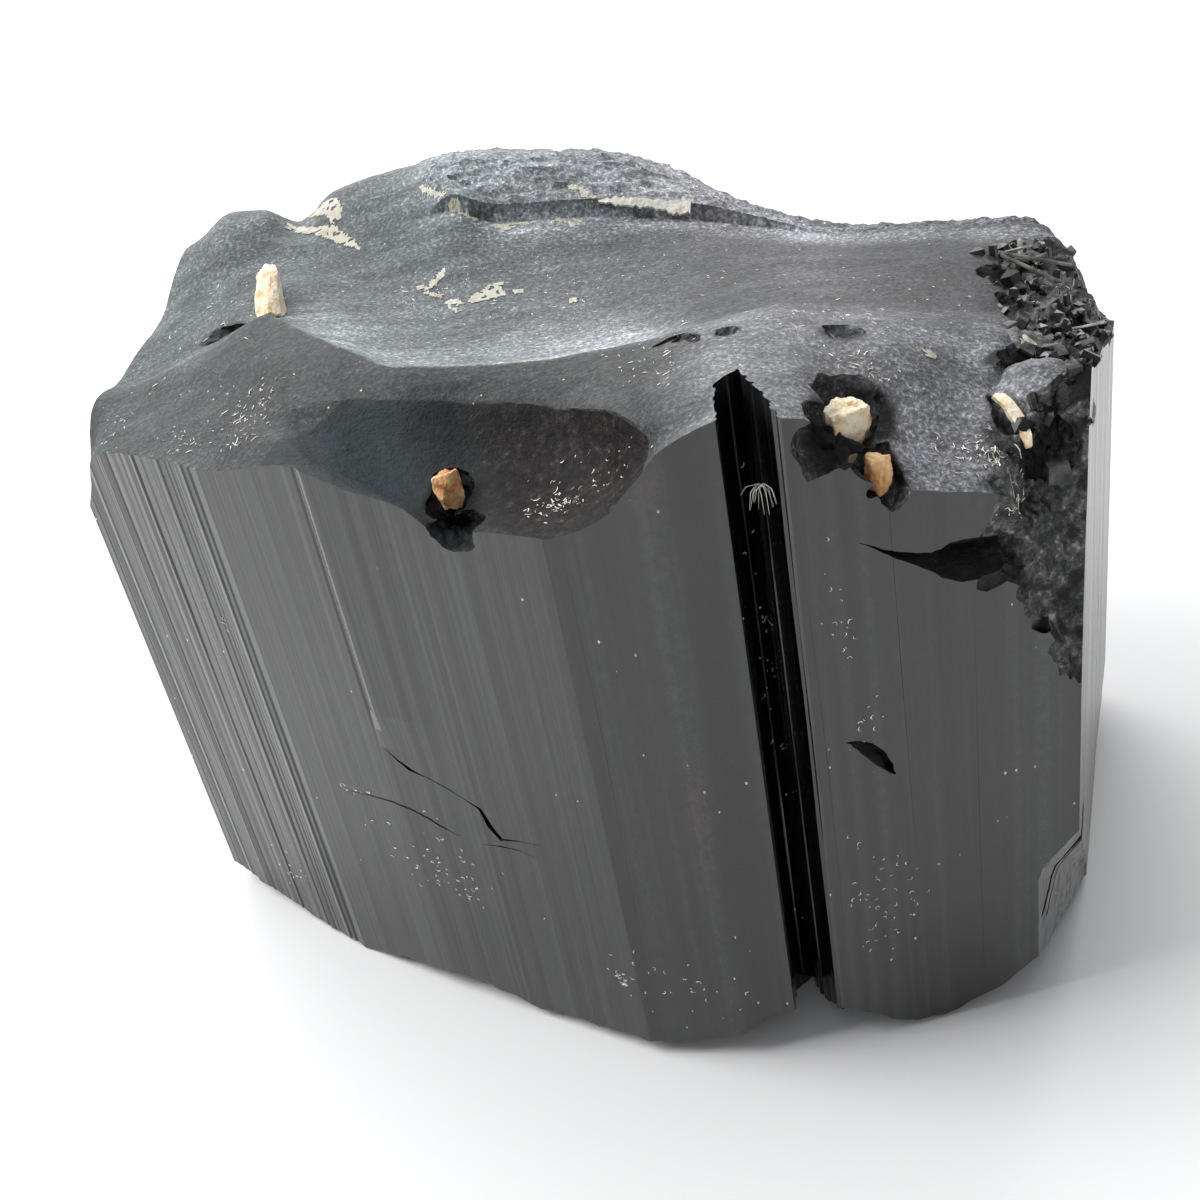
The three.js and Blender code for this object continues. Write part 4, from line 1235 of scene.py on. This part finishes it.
class Nodes:
    """A material's node tree, with short calls for what the materials here need."""

    def __init__(self, name):
        self.material = bpy.data.materials.new(name)
        self.material.use_nodes = True
        self.tree = self.material.node_tree
        self.place = self.node("TexCoord").outputs["Object"]

    def feed_one(self, socket, value):
        """Sets a socket to a number or a colour, or links an output to it."""
        if isinstance(value, (int, float)):
            socket.default_value = value
        elif isinstance(value, tuple):
            socket.default_value = (*value, 1.0)
        else:
            self.tree.links.new(value, socket)

    def feed(self, inputs, values):
        """Feeds inputs by name, with an underline for a space."""
        for name, value in values.items():
            self.feed_one(inputs[name.replace("_", " ")], value)

    def node(self, kind, **values):
        node = self.tree.nodes.new("ShaderNode" + kind)
        self.feed(node.inputs, values)
        return node

    def finish(self, **values):
        """The material, with these inputs of its shader fed."""
        self.feed(self.tree.nodes["Principled BSDF"].inputs, values)
        return self.material

    def texture(self, kind, stretch, **values):
        """A texture over the places of the piece, squeezed along its axes."""
        mapping = self.node("Mapping", Vector=self.place)
        mapping.inputs["Scale"].default_value = stretch
        return self.node(kind, Vector=mapping.outputs["Vector"], **values).outputs

    def noise(self, scale, stretch=(1, 1, 1), detail=4.0, rough=0.55):
        return self.texture("TexNoise", stretch, Scale=scale, Detail=detail, Roughness=rough)["Fac"]

    def specks(self, scale, share, size, stretch=(1, 1, 1)):
        """Small round spots in a share of the cells of a random grid."""
        cells = self.texture("TexVoronoi", stretch, Scale=scale)
        part = self.node("SeparateColor", Color=cells["Color"])
        near = self.math("LESS_THAN", cells["Distance"], size)
        return self.math("MULTIPLY", near, self.math("LESS_THAN", part.outputs["Red"], share))

    def ramp(self, source, stops):
        node = self.node("ValToRGB", Fac=source)
        elements = node.color_ramp.elements
        while len(elements) < len(stops):
            elements.new(0.5)
        for element, (position, color) in zip(elements, stops):
            element.position = position
            element.color = (*color, 1.0) if isinstance(color, tuple) else (color, color, color, 1.0)
        return node.outputs["Color"]

    def mix(self, factor, a, b, blend="MIX"):
        node = self.node("Mix", Factor=factor)
        node.data_type = "RGBA"
        node.blend_type = blend
        first, second = [socket for socket in node.inputs if socket.type == "RGBA"]
        self.feed_one(first, a)
        self.feed_one(second, b)
        return [socket for socket in node.outputs if socket.type == "RGBA"][0]

    def multiply(self, a, b):
        return self.mix(1.0, a, b, "MULTIPLY")

    def math(self, operation, a, b):
        node = self.node("Math")
        node.operation = operation
        node.use_clamp = True
        self.feed_one(node.inputs[0], a)
        self.feed_one(node.inputs[1], b)
        return node.outputs["Value"]

    def attribute(self, name):
        node = self.node("Attribute")
        node.attribute_name = name
        return node.outputs["Fac"]

    def across(self, start, end):
        """A share that rises from 0 to 1 from left to right, between two places in metres."""
        part = self.node("SeparateXYZ", Vector=self.place).outputs["X"]
        return self.node("MapRange", Value=part, From_Min=start, From_Max=end).outputs["Result"]

    def bump(self, source, distance, strength, **under):
        """A normal roughened by the source, over another normal where one is given."""
        node = self.node("Bump", Height=source, Distance=distance, Strength=strength, **under)
        return node.outputs["Normal"]


def face_material():
    """Glossy black prism faces with fine lines along their length and a few pale flecks, painted
    near-black inside the groove as painted shade.
    """
    n = Nodes("schorl_face")
    tint = n.noise(70, detail=3)
    warm = n.math("MULTIPLY", n.ramp(tint, [(0.5, 0.0), (0.64, 1.0)]), n.across(-0.014, -0.006))
    warm = n.math("MULTIPLY", warm, n.across(0.018, 0.01))
    color = n.mix(warm, (0.010, 0.011, 0.0112), (0.0165, 0.0122, 0.0126))
    streaks = n.noise(700, (1, 1, 0.012), 4, 0.6)
    color = n.multiply(color, n.ramp(streaks, [(0.4, 0.5), (0.5, 0.9), (0.64, 2.0)]))
    color = n.multiply(color, n.ramp(n.noise(1700, detail=4, rough=0.7), [(0.35, 0.7), (0.65, 1.5)]))
    # Painted shade: near-black inside the groove.
    color = n.mix(n.attribute("groove"), color, (0.002, 0.002, 0.0022))
    patch = n.ramp(n.noise(130, detail=3), [(0.54, 0.0), (0.6, 1.0)])
    flecks = n.math("MULTIPLY", n.specks(1500, 0.25, 0.12, (1, 1, 0.7)), patch)
    haze = n.ramp(n.noise(900, (1, 1, 0.03), 3), [(0.35, 0.06), (0.7, 0.18)])
    haze = n.math("ADD", haze, n.math("MULTIPLY", n.attribute("side"), 0.16))
    lines = n.bump(n.noise(2600, (1, 1, 0.008), 5, 0.6), 0.00005, 0.6)
    waves = n.bump(n.noise(420, (1, 1, 0.02), 3), 0.0002, 0.5, Normal=lines)
    relief = n.bump(n.noise(900, detail=5, rough=0.7), 0.00001, 0.6, Normal=waves)
    color = n.mix(flecks, color, (0.6, 0.56, 0.48))
    return n.finish(Base_Color=color, Roughness=haze, IOR=1.64, Normal=relief)


def break_material():
    """The dull broken surface: grey with painted light and shade across the top, darker and smoother
    in the scoop, black among the crystals, with painted shade near-black in their hollows, in the pits
    and in the cuts low on the front.
    """
    n = Nodes("schorl_break")
    fine = n.noise(1900, detail=6, rough=0.7)
    broad = n.noise(75, (1, 0.6, 1), 5)
    left = n.ramp(broad, [(0.36, (0.061, 0.077, 0.081)), (0.64, (0.124, 0.140, 0.145))])
    right = n.ramp(broad, [(0.36, (0.085, 0.088, 0.097)), (0.64, (0.165, 0.165, 0.178))])
    grey = n.mix(n.across(-0.012, 0.012), left, right)
    salt = n.noise(3400, detail=3, rough=0.7)
    grain = n.ramp(salt, [(0.33, 0.45), (0.5, 0.9), (0.62, 1.8), (0.7, 3.2)])
    swept = n.ramp(n.noise(500, (0.3, 1, 1), 5, 0.65), [(0.36, 0.7), (0.5, 1.0), (0.66, 1.5)])
    grey = n.multiply(n.multiply(grey, grain), swept)
    # Painted light and shade of the top: the grey scaled by the tone zones.
    grey = n.multiply(grey, n.ramp(n.attribute("tone_with_painted_light"), [(0.0, 0.0), (1.0, 2.5)]))
    # The brown of the scoop's right half; its rare brightest specks are painted glints, standing in for
    # sparkle.
    brown = n.ramp(n.noise(1500, detail=6, rough=0.75), [
        (0.4, (0.004, 0.003, 0.0035)), (0.54, (0.012, 0.009, 0.008)), (0.64, (0.04, 0.035, 0.03)),
        (0.74, (0.24, 0.21, 0.18))])
    blue = n.ramp(fine, [(0.35, (0.018, 0.025, 0.029)), (0.65, (0.043, 0.054, 0.059))])
    scoop = n.mix(n.across(-0.014, -0.007), blue, brown)
    worn = n.math("ADD", n.attribute("scoop"), n.math("MULTIPLY", n.noise(700, detail=3), 0.5))
    edge = n.ramp(worn, [(0.7, 0.0), (0.8, 1.0)])
    color = n.mix(edge, grey, scoop)
    # Rock colour of the rough corner, the pits and the low cuts, darkened to near-black where high is low:
    # painted shade in the hollows.
    rock = n.ramp(n.noise(1100, detail=8, rough=0.8), [
        (0.4, (0.004, 0.004, 0.005)), (0.5, (0.045, 0.047, 0.048)), (0.58, (0.13, 0.13, 0.125)),
        (0.68, (0.5, 0.5, 0.47))])
    rock = n.multiply(rock, n.ramp(n.attribute("high"), [(0.2, 0.08), (0.6, 1.0)]))
    color = n.mix(n.attribute("dark"), color, rock)
    plain = n.math("SUBTRACT", 1.0, n.math("MAXIMUM", n.attribute("dark"), n.attribute("scoop")))
    pale = n.math("MULTIPLY", n.specks(1700, 0.10, 0.14), plain)
    relief = n.bump(n.noise(900, (0.6, 1, 1), 5, 0.7), 0.00012, 0.4)
    return n.finish(
        Base_Color=n.mix(pale, color, (0.62, 0.6, 0.52)),
        Roughness=n.ramp(fine, [(0.3, 0.42), (0.7, 0.7)]),
        Specular_IOR_Level=n.ramp(edge, [(0.0, 0.32), (1.0, 0.14)]),
        Normal=n.bump(salt, 0.00014, 0.7, Normal=relief))


def crystal_material(name, shade_scale, shades, rough_scale, rough):
    """Two plain patterns, one of colour and one of roughness."""
    n = Nodes(name)
    shade = n.ramp(n.noise(shade_scale), shades)
    return n.finish(Base_Color=shade, Roughness=n.ramp(n.noise(rough_scale), rough))


def gloss_material():
    shades = [(0.4, (0.006, 0.006, 0.007)), (0.65, (0.02, 0.021, 0.022))]
    return crystal_material("schorl_small_crystals", 400, shades, 900, [(0.35, 0.1), (0.7, 0.35)])


def needle_material():
    shades = [(0.4, (0.10, 0.10, 0.09)), (0.62, (0.30, 0.29, 0.25))]
    return crystal_material("schorl_needles", 900, shades, 1500, [(0.35, 0.3), (0.7, 0.5)])


def block_material():
    n = Nodes("schorl_blocks")
    patches = n.noise(500)
    shades = [(0.42, (0.012, 0.012, 0.013)), (0.5, (0.06, 0.062, 0.062)), (0.6, (0.14, 0.14, 0.135))]
    return n.finish(
        Base_Color=n.ramp(patches, shades), Roughness=n.ramp(patches, [(0.4, 0.3), (0.6, 0.7)]),
        Specular_IOR_Level=0.35, Normal=n.bump(n.noise(2500), 0.0001, 0.5))


def feldspar_material(name, light, middle, dark):
    n = Nodes(name)
    patches = n.noise(650, detail=6, rough=0.7)
    return n.finish(
        Base_Color=n.ramp(patches, [(0.34, dark), (0.46, middle), (0.58, light)]),
        Roughness=n.ramp(patches, [(0.4, 0.65), (0.6, 0.4)]),
        Normal=n.bump(n.noise(2200, detail=5), 0.0002, 0.8))


# Floor, light and camera


def floor_piece():
    half = FLOOR_HALF
    corners = [(-half, -half, 0), (half, -half, 0), (half, half, 0), (-half, half, 0)]
    piece = link(mesh_from(corners, [(0, 1, 2, 3)], 0), "floor")
    n = Nodes("floor")
    shade = n.ramp(n.noise(3), [(0.4, 0.88), (0.6, 0.9)])
    piece.data.materials.append(n.finish(Base_Color=shade, Roughness=0.8))


def softbox(name, at, towards, size, power):
    data = bpy.data.lights.new(name, "AREA")
    data.shape = "RECTANGLE"
    data.size, data.size_y = size
    data.energy = power
    light = bpy.data.objects.new(name, data)
    light.location = at
    light.rotation_euler = (Vector(towards) - Vector(at)).to_track_quat("-Z", "Y").to_euler()
    bpy.context.scene.collection.objects.link(light)


def studio():
    world = bpy.data.worlds.new("studio")
    world.use_nodes = True
    sky = world.node_tree.nodes["Background"].inputs
    sky["Color"].default_value = (0.95, 0.97, 1.0, 1.0)
    sky["Strength"].default_value = 0.35
    bpy.context.scene.world = world
    bpy.context.scene.view_settings.view_transform = "Standard"
    softbox("above", (-0.1, 0.55, 1.3), (0, 0, 0), (2.0, 1.3), 15.0)
    softbox("back", (0.0, 1.4, 0.75), (0, 0, 0.05), (2.2, 0.8), 17.0)
    softbox("left", (-0.42, 0.05, 0.4), (-0.16, 0.03, 0), (0.3, 0.3), 2.6)


def camera():
    data = bpy.data.cameras.new("camera")
    data.lens = CAMERA_LENS
    data.sensor_width = CAMERA_SENSOR
    data.clip_start = CAMERA_NEAR
    eye = bpy.data.objects.new("camera", data)
    down = Vector((*VANISHING_POINT, FOCAL_PIXELS)).normalized()
    ahead = (Vector((0, 0, 1)) - down * down.z).normalized()
    turn = Matrix((down.cross(ahead), ahead, -down)) @ Matrix.Diagonal((1, -1, -1))
    eye.matrix_world = Matrix.Translation(place(*CAMERA_PLACE)) @ turn.to_4x4()
    bpy.context.scene.collection.objects.link(eye)
    bpy.context.scene.camera = eye


def main():
    camera()
    studio()
    floor_piece()
    tree = BVHTree.FromObject(crystal(), bpy.context.evaluated_depsgraph_get())
    small_crystals(tree)
    needles()
    blocks(tree)
    cream = feldspar_material("cream", (0.92, 0.84, 0.68), (0.84, 0.66, 0.42), (0.46, 0.24, 0.10))
    pale = feldspar_material("pale", (0.97, 0.95, 0.87), (0.92, 0.88, 0.76), (0.74, 0.64, 0.46))
    orange = feldspar_material("orange", (0.86, 0.58, 0.32), (0.74, 0.38, 0.15), (0.38, 0.13, 0.04))
    feldspar_grains(cream, orange)
    films(tree, pale)
    slivers(tree, pale)


main()
